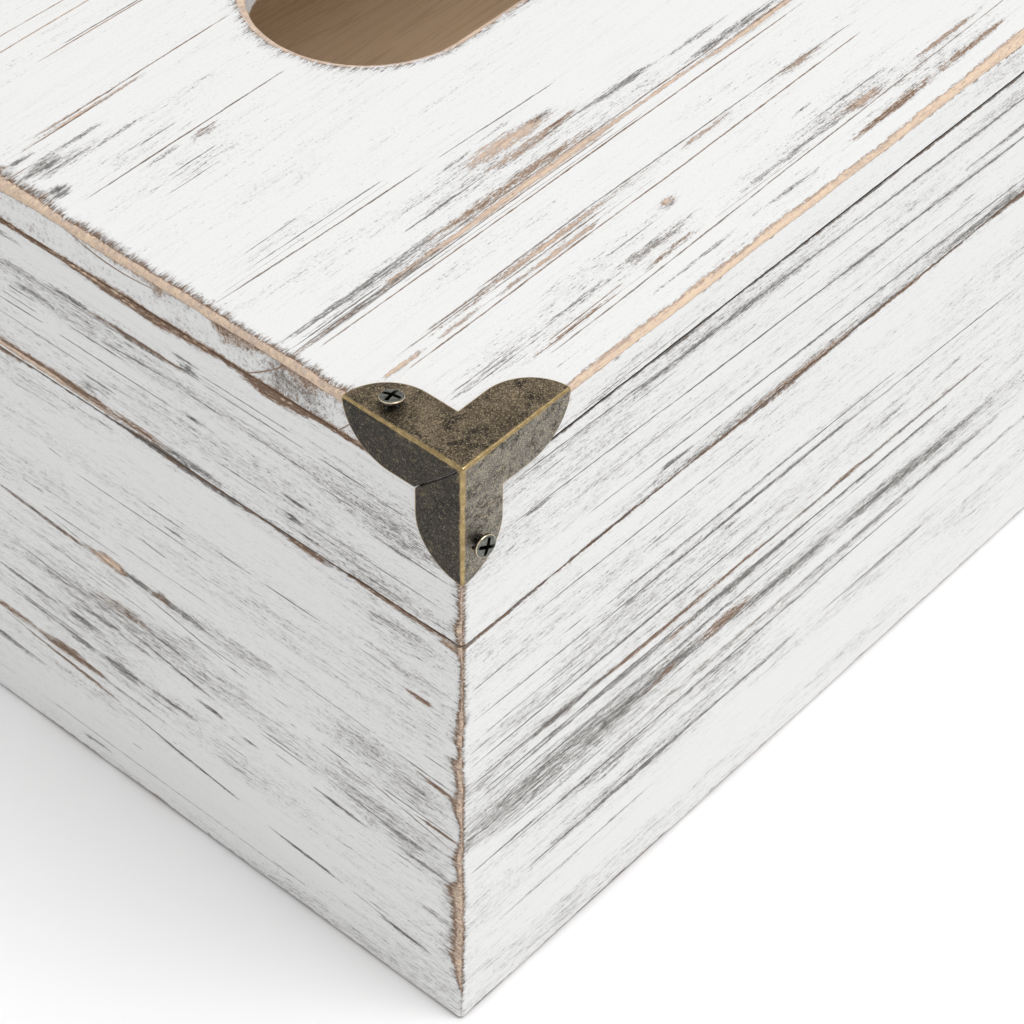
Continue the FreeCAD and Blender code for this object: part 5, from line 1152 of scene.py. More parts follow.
    # The underside, row by row between the outer edge and the slot.
    rim_loop = belt[-1]
    where = {int(v): rim_loop[i] for i, v in enumerate(edge)}
    in_hole = {int(v): hole[i] for i, v in enumerate(loop)}
    L_ = [where[int(v)] for v in side_left]
    R_ = [where[int(v)] for v in side_right]
    first = [where[int(v)] for v in low[0]]
    last = [where[int(v)] for v in high[-1]]
    shell.face(first + [R_[1], L_[1]], 1)
    nlow, nin = len(low_rows), len(inner_y)
    for k in range(1, nlow - 2):
        shell.face([L_[k], R_[k], R_[k + 1], L_[k + 1]], 1)
    straight_low = [in_hole[int(v)] for v in low[-1, nl - 1:-nl + 1]]
    straight_high = [in_hole[int(v)] for v in high[0, nl - 1:-nl + 1]]
    shell.face([L_[nlow - 2], R_[nlow - 2], R_[nlow - 1]] + straight_low[::-1] + [L_[nlow - 1]], 1)
    left_in = [straight_low[0]] + [in_hole[int(v)] for v in left[:, -1]] + [straight_high[0]]
    right_in = [straight_low[-1]] + [in_hole[int(v)] for v in right[:, 0]] + [straight_high[-1]]
    for k in range(nin + 1):
        a = nlow - 1 + k
        shell.face([L_[a], left_in[k], left_in[k + 1], L_[a + 1]], 1)
        shell.face([right_in[k], R_[a], R_[a + 1], right_in[k + 1]], 1)
    b = nlow + nin
    shell.face([L_[b]] + straight_high + [R_[b], R_[b + 1], L_[b + 1]], 1)
    for k in range(b + 1, len(L_) - 2):
        shell.face([L_[k], R_[k], R_[k + 1], L_[k + 1]], 1)
    shell.face([L_[-2], R_[-2]] + last[::-1], 1)
    return shell.finish("top_board_skin", "case", ["top_board"], BOARD_MATERIALS, "X", (5, 77, 19))


top_board()


# ------------------------------------------------------------------ bare boards
def bare_board(name, body, node, grain, material, ease=0.45, shift=(0, 0, 0), gap=6.0):
    """A sawn board with eased edges, a little hollow and wind in its faces."""
    lo, hi = (np.array(v) * 1000 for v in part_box(node))
    work = bmesh.new()
    bmesh.ops.create_cube(work, size=1.0)
    for v in work.verts:
        v.co = Vector([(lo[i] if v.co[i] < 0 else hi[i]) for i in range(3)])
    bmesh.ops.bevel(work, geom=list(work.edges), offset=ease, segments=3, profile=0.5, affect="EDGES")
    for axis in range(3):
        span = hi[axis] - lo[axis]
        cuts = int(span / gap)
        for k in range(1, cuts):
            at = [0.0, 0.0, 0.0]
            at[axis] = lo[axis] + span * k / cuts
            way = [0.0, 0.0, 0.0]
            way[axis] = 1.0
            bmesh.ops.bisect_plane(work, geom=list(work.verts) + list(work.edges) + list(work.faces),
                                   plane_co=at, plane_no=way)
    seed = sum(ord(c) for c in name)
    middle = (lo + hi) / 2
    thin = int(np.argmin(hi - lo))
    flat = [i for i in range(3) if i != thin]
    for v in work.verts:
        a, b = v.co[flat[0]], v.co[flat[1]]
        dent = 0.05 * float(field(seed, a, b, 26, 17, 2))
        sign = 1 if v.co[thin] > middle[thin] else -1
        v.co[thin] -= sign * dent
        other = 0.04 * float(wave(seed + 3, a + b, 15))
        for i in flat:
            if abs(v.co[i] - lo[i]) < ease * 0.5:
                v.co[i] += other
            if abs(v.co[i] - hi[i]) < ease * 0.5:
                v.co[i] -= other
    bmesh.ops.recalc_face_normals(work, faces=work.faces)
    mesh = bpy.data.meshes.new(name)
    work.to_mesh(mesh)
    work.free()
    points = np.empty(len(mesh.vertices) * 3)
    mesh.vertices.foreach_get("co", points)
    points = points.reshape(-1, 3)
    order = {"X": [0, 1, 2], "Y": [1, 0, 2], "Z": [2, 0, 1]}[grain]
    mesh.attributes.new("grain", "FLOAT_VECTOR", "POINT").data.foreach_set("vector", (points[:, order] + np.array(shift)).ravel())
    mesh.attributes.new("state", "FLOAT_VECTOR", "POINT").data.foreach_set("vector", np.tile([0.9, 0.9, 0.0], len(points)))
    mesh.vertices.foreach_set("co", (points * 0.001).ravel())
    mesh.materials.append(material)
    mesh.polygons.foreach_set("use_smooth", [True] * len(mesh.polygons))
    mesh.update()
    mesh.set_sharp_from_angle(angle=math.radians(50))
    return put(name, mesh, body, [node])


bare_board("bottom_panel_skin", "case", "bottom_panel", "X", RAW_PANEL, 0.3, (31, 7, 3), 12)
bare_board("left_guide_strip_skin", "case", "left_guide_strip", "X", RAW, 0.5, (71, 17, 5), 14)
bare_board("right_guide_strip_skin", "case", "right_guide_strip", "X", RAW, 0.5, (131, 27, 9), 14)
bare_board("drawer_left_side_skin", "drawer", "drawer_left_side", "X", RAW, 0.5, (171, 37, 13), 12)
bare_board("drawer_right_side_skin", "drawer", "drawer_right_side", "X", RAW, 0.5, (271, 47, 23), 12)
bare_board("drawer_back_skin", "drawer", "drawer_back", "Y", RAW, 0.5, (371, 57, 33), 12)
bare_board("drawer_bottom_skin", "drawer", "drawer_bottom", "X", RAW_PANEL, 0.3, (471, 67, 43), 12)


# ------------------------------------------------------------------ brackets
FOLD, SHEET = 0.5, 0.7
RIM_STEPS = ((0.38, 0.0), (0.13, 0.0), (0.04, 0.035), (0.0, 0.12), (0.0, 0.50), (0.05, SHEET), (0.38, SHEET))


def offset_line(line, amount, first_way, last_way):
    """An open outline moved inward by amount. Its two ends move along given directions."""
    d = np.diff(line, axis=0)
    d /= np.linalg.norm(d, axis=1)[:, None]
    normal = np.stack([d[:, 1], -d[:, 0]], axis=1)
    vertex = np.zeros_like(line)
    vertex[1:-1] = (normal[:-1] + normal[1:]) / (1 + np.sum(normal[:-1] * normal[1:], axis=1))[:, None]
    vertex[0], vertex[-1] = first_way, last_way
    return line - vertex * amount


def bracket(name, node, sx, sy, seed):
    """Folded from one sheet: three faces with two petals each, and a slit in the end face.
    Worked in distances (a, b, c) inward from the outer corner along X, Y and Z."""
    r = FOLD
    verts, lows, rims, painted_reflections, faces = [], [], [], [], []
    seen = {}

    def vertex(point, inward, depth, rim, tone):
        point, inward = np.asarray(point, float), np.asarray(inward, float)
        q = point + inward * min(depth, r)
        if depth > 0:
            q = np.maximum(q, depth) if depth >= r else np.maximum(q, min(depth, r) if False else q)
        if depth >= r:
            q = np.maximum(point + inward * depth, SHEET if depth >= SHEET else depth)
        key = tuple(np.round(q, 5)) + (1 if depth >= SHEET else 0,)
        if key not in seen:
            seen[key] = len(verts)
            verts.append(q)
            rims.append(rim)
            painted_reflections.append(tone)
        return seen[key]

    def add_face(numbers):
        clean = []
        for n in numbers:
            if n not in clean:
                clean.append(n)
        if len(clean) >= 3:
            faces.append(clean)

    arc_count = 5
    share = [(i / arc_count) for i in range(arc_count + 1)]

    def fold_normal(u):
        n = np.array([1 - u, u])
        return n / np.linalg.norm(n)

    # Which petal widths each face has. The end face's flaps are a little wider.
    widths = {"top": 7.85, "side": 7.85, "end": 8.35}
    # Painted reflection of each face: 0 paints the end face near-black as in shade, 0.5 the top brown, 1 the side grey.
    painted_reflection_of = {"top": 0.5, "side": 1.0, "end": 0.0}
    # Face axes: the two in-plane directions and the one it looks along.
    frames = {"top": (0, 1, 2), "side": (0, 2, 1), "end": (1, 2, 0)}
    tip = 21.0
    rows = np.concatenate([[r], np.arange(1.1, tip - 1.2, 0.62)])

    def tip_of(w):
        return tip - w + math.sqrt(w * w - r * r)

    last_row = min(tip_of(w) for w in widths.values())
    rows = rows[rows < last_row - 0.9]
    fold_rows = np.concatenate([rows, [last_row - 0.38]])

    def place(face, p, q, depth, rim):
        i, j, k = frames[face]
        point = np.zeros(3)
        point[i], point[j], point[k] = p, q, 0.0
        inward = np.zeros(3)
        inward[k] = 1.0
        return vertex(point, inward, depth, rim, painted_reflection_of[face])

    holes = {"top": (2.9, 14.8), "side": (2.9, 14.8)}
    for face in ("top", "side", "end"):
        w = widths[face]
        arc = np.radians(np.linspace(0, 90, 26))
        end_angle = math.asin(r / w)
        arc = end_angle + (math.pi / 2 - end_angle) * np.linspace(0, 1, 26)
        petal = np.stack([tip - w + w * np.cos(arc), w * np.sin(arc)], axis=1)
        petal[0] = (last_row, r)
        inner = np.stack([np.linspace(tip - w, w, 12)[1:-1], np.full(10, w)], axis=1)
        half = np.vstack([petal, inner])
        if face == "end":
            g = 0.10
            slit = [(w + g * 0.2, w - g), (5.5, 5.5 - 2 * g * 0.9), (3.2, 3.2 - 2 * g * 0.8), (1.25, 1.25 - 2 * g * 0.6)]
            corner = np.array(slit)
            line = np.vstack([half, corner, corner[::-1, ::-1], half[::-1, ::-1]])
        else:
            line = np.vstack([half, [(w, w)], half[::-1, ::-1]])
        loops = []
        for amount, depth in RIM_STEPS:
            moved = offset_line(line, amount, np.array([1.0, 0.0]), np.array([0.0, 1.0]))
            moved = np.maximum(moved, r)
            rim = 1.0 if amount < 0.2 else 0.0
            # The slit's lips kept their patina and get less of the rubbed gold and its painted highlight.
            lip = range(len(half), len(half) + 8) if face == "end" else ()
            loops.append([place(face, p, q, depth, (0.55 if k < len(half) + 4 else 0.2) * rim if k in lip else rim) for k, (p, q) in enumerate(moved)])
            if depth == 0.0 and amount > 0.2:
                inner_line = moved
        for a, b in zip(loops[:-1], loops[1:]):
            for k in range(len(a) - 1):
                add_face([a[k], a[k + 1], b[k + 1], b[k]])
        # The flat part, as triangles over scattered points, with a ring at the screw hole.
        base_p = [(p, r) for p in rows]
        base_q = [(r, q) for q in rows[::-1]]
        border = base_p + [tuple(v) for v in inner_line] + base_q[:-1]
        rings = []
        flat_points = list(border)
        edges = [(i, (i + 1) % len(border)) for i in range(len(border))]
        if face in holes:
            hp, hq = holes[face]
            turn = np.linspace(0, 2 * np.pi, 33)[:-1]
            first = len(flat_points)
            flat_points += [(hp + 1.36 * math.cos(a), hq + 1.36 * math.sin(a)) for a in turn]
            edges += [(first + i, first + (i + 1) % 32) for i in range(32)]
        rnd = np.random.RandomState(seed + 3)
        spread = []
        poly = np.array(border)
        for gp in np.arange(1.2, tip, 1.15):
            for gq in np.arange(1.2, tip, 1.15):
                q = np.array([gp, gq]) + rnd.uniform(-0.2, 0.2, 2)
                if inside(q, poly) and gap_to(q, poly) > 0.45 and not (face in holes and math.hypot(q[0] - hp, q[1] - hq) < 1.9):
                    spread.append(tuple(q))
        flat_points += spread
        found, _, triangles, *_ = delaunay_2d_cdt([Vector(v) for v in flat_points], edges, [], 0, 1e-6)
        for depth, flip in ((0.0, False), (SHEET, True)):
            numbers = []
            for v in found:
                p, q = float(v[0]), float(v[1])
                numbers.append(place(face, p, q, depth, 0.0))
            for tri in triangles:
                c = sum((np.array(found[i]) for i in tri)) / 3
                if not inside(c, poly):
                    continue
                if face in holes and all(math.hypot(found[i][0] - hp, found[i][1] - hq) < 1.37 for i in tri):
                    continue
                add_face([numbers[i] for i in tri])
        if face in holes:
            turns = [(hp, hq, 1.36, 0.0, 0.0), (hp, hq, 1.24, 0.0, 1.0), (hp, hq, 1.18, 0.035, 1.0), (hp, hq, 1.15, 0.12, 1.0),
                     (hp, hq, 1.15, 0.50, 0.4), (hp, hq, 1.15, SHEET, 0.0), (hp, hq, 1.36, SHEET, 0.0)]
            loops = [[place(face, cp + rad * math.cos(a), cq + rad * math.sin(a), depth, rim) for a in turn]
                     for cp, cq, rad, depth, rim in turns]
            for a, b in zip(loops[:-1], loops[1:]):
                for k in range(32):
                    add_face([a[k], a[(k + 1) % 32], b[(k + 1) % 32], b[k]])

    # The three folds. Each joins two faces along one direction.
    folds = (("top", "side", 0, 2, 1), ("top", "end", 1, 2, 0), ("side", "end", 2, 1, 0))
    for one, two, along, look_one, look_two in folds:
        def fold_vertex(s, u, depth, rim):
            n = fold_normal(u)
            point = np.zeros(3)
            inward = np.zeros(3)
            point[along] = s
            # u = 0 lies in face one, u = 1 in face two.
            point[look_one] = r - r * n[0]
            point[look_two] = r - r * n[1]
            inward[look_one], inward[look_two] = n
            # Across a fold the painted reflection passes from one face's value to the other's.
            return vertex(point, inward, depth, rim, painted_reflection_of[one] * (1 - u) + painted_reflection_of[two] * u)
        profile = [(s, 0.0, 0.0) for s in fold_rows]
        profile += [(last_row - amount, depth, 1.0 if amount < 0.2 else 0.0) for amount, depth in RIM_STEPS[1:]]
        profile += [(s, SHEET, 0.0) for s in fold_rows[::-1][1:]]
        grid = [[fold_vertex(s, u, depth, rim) for u in share] for s, depth, rim in profile]
        for a, b in zip(grid[:-1], grid[1:]):
            for k in range(arc_count):
                add_face([a[k], a[k + 1], b[k + 1], b[k]])
    # The rounded corner where the folds meet.
    n = arc_count
    for depth in (0.0, SHEET):
        corner = {}
        for i in range(n + 1):
            for j in range(n + 1 - i):
                way = np.array([i, j, n - i - j], float)
                way /= np.linalg.norm(way)
                # The rounded corner blends the three faces' painted reflections.
                tone = float(np.dot(way, [painted_reflection_of["end"], painted_reflection_of["side"], painted_reflection_of["top"]]) / way.sum())
                corner[i, j] = vertex(r - r * way, way, depth, 0.3, tone)
        for i in range(n):
            for j in range(n - i):
                add_face([corner[i, j], corner[i + 1, j], corner[i, j + 1]])
                if i + j < n - 1:
                    add_face([corner[i + 1, j], corner[i + 1, j + 1], corner[i, j + 1]])

    local = np.array(verts)
    # Small dents, on the outside only.
    least = np.sort(local, axis=1)
    flat = (least[:, 0] < 1e-6) & (least[:, 1] > FOLD + 0.3)
    dent = 0.030 * (field(seed, local[:, 0] + local[:, 2], local[:, 1] - local[:, 2], 3.1, 3.1, 2) - 0.35)
    bent = local.copy()
    for axis in range(3):
        mask = flat & (local[:, axis] < 1e-6)
        bent[mask, axis] += np.clip(dent[mask], 0, 1)
    world = np.stack([sx * (APEX[0] - bent[:, 0]), sy * (APEX[1] - bent[:, 1]), APEX[2] - bent[:, 2]], axis=1)
    # Rubbing, and the painted highlight of the rounded folds, follow the folds.
    fold_gap = least[:, 1]
    along = least[:, 2]
    upright = np.argmax(local, axis=1) == 2
    reach = np.where(upright, 0.66, 0.58) * (0.75 + 0.5 * waves(seed + 5, along, 3.0, 3))
    rub_and_highlight = np.clip(1.25 - fold_gap / reach, 0, 1)
    mesh = bpy.data.meshes.new(name)
    mesh.from_pydata((world * 0.001).tolist(), [], faces)
    mesh.attributes.new("grain", "FLOAT_VECTOR", "POINT").data.foreach_set("vector", (local + seed * 0.37).ravel())
    mesh.attributes.new("state", "FLOAT_VECTOR", "POINT").data.foreach_set("vector", np.stack([rims, painted_reflections, rub_and_highlight], axis=1).ravel())
    work = bmesh.new()
    work.from_mesh(mesh)
    bmesh.ops.remove_doubles(work, verts=work.verts, dist=1e-7)
    bmesh.ops.dissolve_degenerate(work, edges=work.edges, dist=1e-7)
    bmesh.ops.recalc_face_normals(work, faces=work.faces)
    open_edges = sum(1 for e in work.edges if len(e.link_faces) != 2)
    if open_edges:
        print(name, "open edges:", open_edges)
    work.to_mesh(mesh)
    work.free()
    mesh.materials.append(BRASS)
    mesh.polygons.foreach_set("use_smooth", [True] * len(mesh.polygons))
    mesh.update()
    mesh.set_sharp_from_angle(angle=math.radians(50))
    return put(name, mesh, "case", [node])


def inside(q, poly):
    """True if a point is inside a closed outline."""
    x, y = poly[:, 0], poly[:, 1]
    x2, y2 = np.roll(x, -1), np.roll(y, -1)
    cross = ((y > q[1]) != (y2 > q[1])) & (q[0] < (x2 - x) * (q[1] - y) / np.where(np.abs(y2 - y) < 1e-12, 1e-12, y2 - y) + x)
    return bool(cross.sum() % 2)


def gap_to(q, poly):
    a, b = poly, np.roll(poly, -1, axis=0)
    ab = b - a
    f = np.clip(np.sum((q - a) * ab, axis=1) / np.maximum(np.sum(ab * ab, axis=1), 1e-12), 0, 1)
    return float(np.min(np.linalg.norm(a + ab * f[:, None] - q, axis=1)))


for label, sx, sy, seed in (("back_left", -1, -1, 11), ("back_right", -1, 1, 23), ("front_left", 1, -1, 37), ("front_right", 1, 1, 53)):
    bracket("corner_bracket_%s_skin" % label, "corner_bracket_" + label, sx, sy, seed)


# ------------------------------------------------------------------ turned pieces
def lathe(profile, turns, cap=True):
    """(points, faces) of a profile of (radius, height) turned about Z. The first and last radius may be 0."""
    points, faces, rings = [], [], []
    for radius, height in profile:
        if radius < 1e-9:
            rings.append([len(points)])
            points.append((0.0, 0.0, height))
        else:
            rings.append(list(range(len(points), len(points) + turns)))
            for k in range(turns):
                a = 2 * math.pi * k / turns
                points.append((radius * math.cos(a), radius * math.sin(a), height))
    for a, b in zip(rings[:-1], rings[1:]):
        for k in range(turns):
            j = (k + 1) % turns
            if len(a) == 1:
                faces.append([a[0], b[k], b[j]])
            elif len(b) == 1:
                faces.append([a[k], b[0], a[j]][::-1])
            else:
                faces.append([a[k], a[j], b[j], b[k]])
    return points, faces


def as_object(name, points, faces):
    mesh = bpy.data.meshes.new(name)
    mesh.from_pydata(points, [], faces)
    work = bmesh.new()
    work.from_mesh(mesh)
    bmesh.ops.recalc_face_normals(work, faces=work.faces)
    work.to_mesh(mesh)
    work.free()
    return bpy.data.objects.new(name, mesh)


def screw_mesh():
    """A pan head with a cross recess on a threaded neck. Head's underside at z = 0, mm."""
    rim = 1.75
    profile = [(0, 0.95)]
    for k in range(1, 9):
        x = rim * 0.84 * k / 8
        profile.append((x, 0.95 - 0.20 * (x / rim) ** 2.2))
    for a in np.radians([70, 50, 30, 12, 0, -20, -45, -70]):
        profile.append((rim - 0.22 + 0.22 * math.cos(a), 0.47 + 0.30 * math.sin(a)))
    profile += [(rim - 0.34, 0.06), (rim - 0.50, 0.0), (0.95, 0.0), (0, 0.0)]
    head = as_object("head_work", *lathe(profile, 56))
    # A cross cutter with sloping walls.
    points, faces = [], []
    for turn in (0, math.pi / 2):
        first = len(points)
        for z, half, wide in ((0.22, 0.50, 0.16), (1.3, 2.10, 0.36)):
            for x, y in ((-half, -wide), (half, -wide), (half, wide), (-half, wide)):
                points.append((x * math.cos(turn) - y * math.sin(turn), x * math.sin(turn) + y * math.cos(turn), z))
        f = first
        faces += [[f + 3, f + 2, f + 1, f], [f + 4, f + 5, f + 6, f + 7]] + [[f + i, f + (i + 1) % 4, f + 4 + (i + 1) % 4, f + 4 + i] for i in range(4)]
    scene = bpy.context.scene.collection
    scene.objects.link(head)
    for part in range(2):
        cutter = as_object("cutter_work", points[part * 8:part * 8 + 8], [[i - part * 8 for i in f] for f in faces[part * 6:part * 6 + 6]])
        scene.objects.link(cutter)
        cut = head.modifiers.new("recess", "BOOLEAN")
        cut.operation, cut.solver, cut.object = "DIFFERENCE", "EXACT", cutter
        bpy.context.view_layer.update()
        made = bpy.data.meshes.new_from_object(head.evaluated_get(bpy.context.evaluated_depsgraph_get()))
        head.modifiers.clear()
        head.data = made
        bpy.data.objects.remove(cutter)
    mesh = head.data
    head_points = np.array([v.co[:] for v in mesh.vertices])
    head_faces = [list(p.vertices) for p in mesh.polygons]
    bpy.data.objects.remove(head)
    # The thread: a ridge that winds down the neck into the wood.
    turns, pitch, length = 36, 0.55, 6.4
    steps = int(length / pitch * 10)
    rows = []
    neck = []
    for k in range(steps + 1):
        z = 0.02 - length * k / steps
        row = []
        for j in range(turns):
            phase = (z / pitch + j / turns) % 1.0
            ridge = max(0.0, 1 - abs(phase - 0.5) / 0.28)
            taper = 1.0 if z > -length + 1.6 else max(0.12, (z + length) / 1.6)
            radius = (0.62 + 0.28 * ridge ** 0.8) * taper
            a = 2 * math.pi * j / turns
            row.append(len(neck))
            neck.append((radius * math.cos(a), radius * math.sin(a), z))
        rows.append(row)
    neck_faces = [[a[j], a[(j + 1) % turns], b[(j + 1) % turns], b[j]] for a, b in zip(rows[:-1], rows[1:]) for j in range(turns)]
    neck_faces += [rows[0][::-1], rows[-1]]
    base = len(head_points)
    points = np.vstack([head_points, np.array(neck)])
    faces = head_faces + [[i + base for i in f] for f in neck_faces]
    return points, faces


def bracket_screws():
    points, faces = screw_mesh()
    radial = np.hypot(points[:, 0], points[:, 1])
    # Bright on the rim alone, worn and a painted highlight; the crown is dull; the head's underside, the neck and the
    # recess are painted near-black as shade.
    rub_and_highlight = np.where((radial > 1.66) & (points[:, 2] > 0.55), 1.0, 0.0)
    tone = np.where(points[:, 2] > 0.58, 0.95, 0.0)
    # Faces in the cross recess get the darkened copy of the metal: painted shade in the hollow.
    centres = np.array([points[f].mean(axis=0) for f in faces])
    crown = 0.95 - 0.20 * (np.hypot(centres[:, 0], centres[:, 1]) / 1.75) ** 2.2
    recess = (centres[:, 2] > 0.2) & (centres[:, 2] < crown - 0.03) & (np.hypot(centres[:, 0], centres[:, 1]) < 1.42)
    all_points, all_faces, all_local, all_state = [], [], [], []
    stand = 1.0
    spin = iter([12, 22, 63, 5, 41, 78, 30, 55])
    leans = iter([(10.0, 45), (9.0, 216), (1.5, 200), (2.5, 20), (3.0, 140), (1.0, 300), (2.0, 75), (1.5, 250)])
    nudges = iter([(0, 0, 0), (0, 0, 0.3)] + [(0, 0, 0)] * 6)
    for sx, sy in ((-1, -1), (-1, 1), (1, -1), (1, 1)):
        for kind in ("top", "side"):
            turn = math.radians(next(spin))
            # Each screw leans a little; the top one nearest the photo's corner leans most.
            lean, towards = next(leans)
            p = points @ np.array(Matrix.Rotation(turn, 3, "Z")).T
            p = p @ np.array(Matrix.Rotation(math.radians(lean), 3, (-math.sin(math.radians(towards)), math.cos(math.radians(towards)), 0))).T
            lift = min(stand, stand + 0.95 - 0.012 - p[:, 2].max())
            if kind == "top":
                place = np.array([sx * (APEX[0] - 2.9), sy * (APEX[1] - 14.8), APEX[2] + lift])
                q = p + place
            else:
                # Looks along the side's outward direction.
                q = np.stack([p[:, 0], sy * p[:, 2], -sy * p[:, 1] * -1], axis=1)
                q = q + np.array([sx * (APEX[0] - 2.9), sy * (APEX[1] + lift), APEX[2] - 14.8])
            q = q + np.array(next(nudges))
            base = sum(len(x) for x in all_points)
            all_points.append(q)
            flip = kind == "side" and sy > 0
            all_faces += [[i + base for i in (f[::-1] if flip else f)] for f in faces]
            all_local.append(points + 11 * len(all_local))
            all_state.append(np.stack([rub_and_highlight * 0.6, tone, rub_and_highlight], axis=1))
    mesh = bpy.data.meshes.new("bracket_screws_skin")
    mesh.from_pydata((np.vstack(all_points) * 0.001).tolist(), [], all_faces)
    mesh.attributes.new("grain", "FLOAT_VECTOR", "POINT").data.foreach_set("vector", np.vstack(all_local).ravel())
    mesh.attributes.new("state", "FLOAT_VECTOR", "POINT").data.foreach_set("vector", np.vstack(all_state).ravel())
    work = bmesh.new()
    work.from_mesh(mesh)
    bmesh.ops.recalc_face_normals(work, faces=work.faces)
    work.to_mesh(mesh)
    work.free()
    mesh.materials.append(SCREW)
    mesh.materials.append(SHADED_RECESS_METAL)
    mesh.polygons.foreach_set("material_index", np.tile(recess.astype(int), 8))
    mesh.polygons.foreach_set("use_smooth", [True] * len(mesh.polygons))
    mesh.update()
    mesh.set_sharp_from_angle(angle=math.radians(35))
    put("bracket_screws_skin", mesh, "case", ["bracket_screws"])


def screw_metal(name, painted_shade_factor=1.0):
    # The last argument darkens the whole colour: 1 leaves it as it is, lower values paint shade.
    p = Paint(name)
    g = p.attribute("grain")
    rim, tone, rub_and_highlight = p.split(p.attribute("state"))
    grit = p.noise(g, (5.0, 5.0, 5.0), 3.0, 0.7)
    cloud = p.noise(g, (1.6, 1.6, 1.6), 3.0, 0.6, (5, 1, 8), 0.5)
    # Below the head's rim, on its underside and the neck, the colour is near-black: painted shade under the head.
    base = p.mix(p.step(cloud, 0.35, 0.65), (0.030 * painted_shade_factor, 0.026 * painted_shade_factor, 0.022 * painted_shade_factor), (0.085 * painted_shade_factor, 0.075 * painted_shade_factor, 0.060 * painted_shade_factor))
    crown = p.mix(p.step(cloud, 0.35, 0.65), (0.10, 0.104, 0.088), (0.21, 0.215, 0.19))
    crown = p.mix(p.step(grit, 0.60, 0.72, 0.0, 0.4), crown, (0.40, 0.38, 0.31))
    colour = p.mix(p.times(p.step(tone, 0.4, 0.9), painted_shade_factor), base, crown)
    # Bright rim: worn metal and a painted highlight.
    shine = p.mix(p.step(grit, 0.4, 0.6), (0.55, 0.42, 0.26), (0.80, 0.70, 0.55))
    colour = p.mix(p.times(p.step(p.add(rub_and_highlight, p.off(cloud, 0.6), p.off(grit, 0.4)), 0.45, 0.80), painted_shade_factor), colour, shine)
    rough = p.add(0.34, p.off(grit, 0.3))
    return p.done(colour, rough, p.bump(p.add(p.off(grit, 0.5), p.off(cloud, 0.8)), 0.00003, 0.5), metallic=0.92)


SCREW = screw_metal("old_brass_screws")
# The recess takes a copy of the metal darkened to 0.22: painted shade.
SHADED_RECESS_METAL = screw_metal("old_brass_screws_recess_shaded", 0.22)
bracket_screws()


def knob():
    """Turned to match the brackets: a stepped foot, a waist, and a crown with a bead."""
    lo, hi = (np.array(v) * 1000 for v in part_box("drawer_knob"))
    long = hi[0] - lo[0]
    profile = [(2.2, 0.0), (5.6, 0.0), (5.9, 0.12), (6.0, 0.4), (6.0, 1.05), (5.85, 1.35), (5.5, 1.5), (4.7, 1.62), (4.35, 1.8), (4.2, 2.2),
               (3.95, 3.0), (3.68, 4.0), (3.52, 5.2), (3.52, 6.2), (3.7, 7.1), (4.2, 8.0), (5.0, 8.7), (6.0, 9.3), (6.9, 9.7), (7.25, 9.82),
               (7.5, 10.0), (7.62, 10.2), (7.75, 10.32), (8.4, 10.6), (9.2, 11.25), (9.75, 12.1), (10.0, 13.1), (9.93, 14.0), (9.6, 14.9), (9.0, 15.75),
               (8.55, 16.2), (8.4, 16.28), (8.25, 16.42), (8.1, 16.6), (7.2, 17.35), (6.0, 18.05), (4.5, 18.6), (3.0, 18.88), (1.5, 18.98), (0.0, 19.0)]
    bore = [(0.0, 10.0), (1.9, 10.0), (2.0, 9.9), (2.0, 0.2), (2.2, 0.0)]
    profile = bore[:-1] + profile
    profile = [(a, b * long / 19.0) for a, b in profile]
    points, faces = lathe(profile, 96)
    p = np.array(points)
    centre = (lo + hi) / 2
    world = np.stack([lo[0] + p[:, 2], centre[1] + p[:, 0], centre[2] + p[:, 1]], axis=1)
    radial = np.hypot(p[:, 0], p[:, 1])
    ridge = np.exp(-((p[:, 2] - 1.2) / 0.5) ** 2) + np.exp(-((p[:, 2] - 13.1) / 1.3) ** 2) + np.exp(-((radial - 8.5) / 0.35) ** 2) * (p[:, 2] > 15)
    crown = 0.45 * np.clip((p[:, 2] - 17.5) / 1.5, 0, 1)
    mesh = bpy.data.meshes.new("drawer_knob_skin")
    mesh.from_pydata((world * 0.001).tolist(), [], faces)
    mesh.attributes.new("grain", "FLOAT_VECTOR", "POINT").data.foreach_set("vector", (p + 5.0).ravel())
    state = np.stack([np.zeros(len(p)), np.full(len(p), 0.55), np.clip(ridge * 0.62 + crown, 0, 1)], axis=1)
    mesh.attributes.new("state", "FLOAT_VECTOR", "POINT").data.foreach_set("vector", state.ravel())
    work = bmesh.new()
    work.from_mesh(mesh)
    bmesh.ops.recalc_face_normals(work, faces=work.faces)
    work.to_mesh(mesh)
    work.free()
    mesh.materials.append(BRASS)
    mesh.polygons.foreach_set("use_smooth", [True] * len(mesh.polygons))
    mesh.update()
    mesh.set_sharp_from_angle(angle=math.radians(42))
    put("drawer_knob_skin", mesh, "drawer", ["drawer_knob"])


knob()

# Pins and the knob's screw keep their own shape and get zinc plate.
for node in ("top_board_pins", "corner_pins", "bottom_panel_pins", "drawer_pins", "knob_screw"):
    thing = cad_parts[node]
    if not thing.material_slots:
        thing.data.materials.append(ZINC)
    for each in thing.material_slots:
        each.material = ZINC


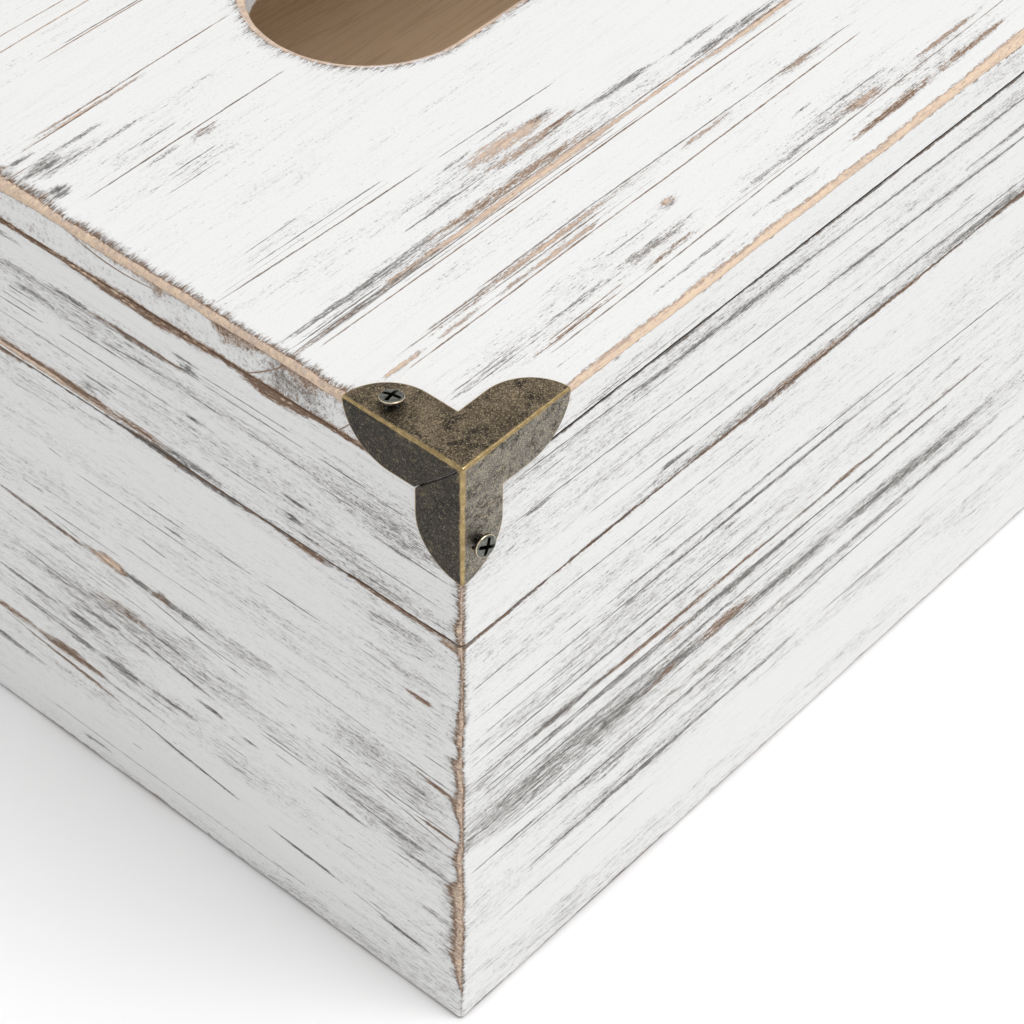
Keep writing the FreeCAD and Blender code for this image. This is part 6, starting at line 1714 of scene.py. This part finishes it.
# ------------------------------------------------------------------ floor, light, camera
def floor():
    p = Paint("pale_floor")
    where = p.node("ShaderNodeTexCoord").outputs["Object"]
    soft = p.noise(where, (1.5, 1.5, 1.5), 3.0, 0.5)
    fine = p.noise(where, (900, 900, 900), 2.0, 0.6)
    colour = p.mix(p.step(soft, 0.3, 0.7), (0.925, 0.925, 0.925), (0.945, 0.945, 0.945))
    material = p.done(colour, p.add(0.7, p.off(fine, 0.1)), p.bump(fine, 0.00003, 0.3), specular=0.2)
    mesh = bpy.data.meshes.new("floor")
    n, size = 12, 3.0
    work = bmesh.new()
    bmesh.ops.create_grid(work, x_segments=n, y_segments=n, size=size)
    work.to_mesh(mesh)
    work.free()
    mesh.materials.append(material)
    thing = bpy.data.objects.new("floor", mesh)
    bpy.context.scene.collection.objects.link(thing)
    thing.location = (0, 0, -0.0002)


floor()

scene = bpy.context.scene
scene.view_settings.view_transform = "Standard"
scene.view_settings.look = "None"
world = bpy.data.worlds.new("studio")
world.use_nodes = True
world.node_tree.nodes["Background"].inputs["Color"].default_value = (1.0, 1.0, 1.0, 1.0)
world.node_tree.nodes["Background"].inputs["Strength"].default_value = 0.70
scene.world = world


def lamp(name, place, aim, size, power, colour=(1, 1, 1)):
    data = bpy.data.lights.new(name, "AREA")
    data.shape = "SQUARE"
    data.size = size
    data.energy = power
    data.color = colour
    thing = bpy.data.objects.new(name, data)
    scene.collection.objects.link(thing)
    thing.location = place
    thing.rotation_euler = (Vector(aim) - Vector(place)).to_track_quat("-Z", "Y").to_euler()
    return thing


lamp("key", (0.20, -1.0, 2.1), (0, 0, 0.05), 1.1, 26.6)

# The camera stands where a fit to the box's edges in the photo puts it.
spin = Matrix(((0.6591345292465045, 0.5198726028093343, -0.5433913407510627),
               (-0.7519244610565883, 0.46741447878018444, -0.4649013980312475),
               (0.012299480466620494, 0.7150218051744277, 0.6989939491192714)))
lens = bpy.data.cameras.new("camera")
lens.sensor_fit = "HORIZONTAL"
lens.sensor_width = 36.0
lens.lens = 36.0 * 3156.341 / 1024.0
lens.clip_start, lens.clip_end = 0.01, 20.0
camera = bpy.data.objects.new("camera", lens)
scene.collection.objects.link(camera)
camera.matrix_world = Matrix.Translation((-0.34744194, -0.27180170, 0.38878176)) @ spin.to_4x4()
scene.camera = camera

bpy.context.view_layer.update()
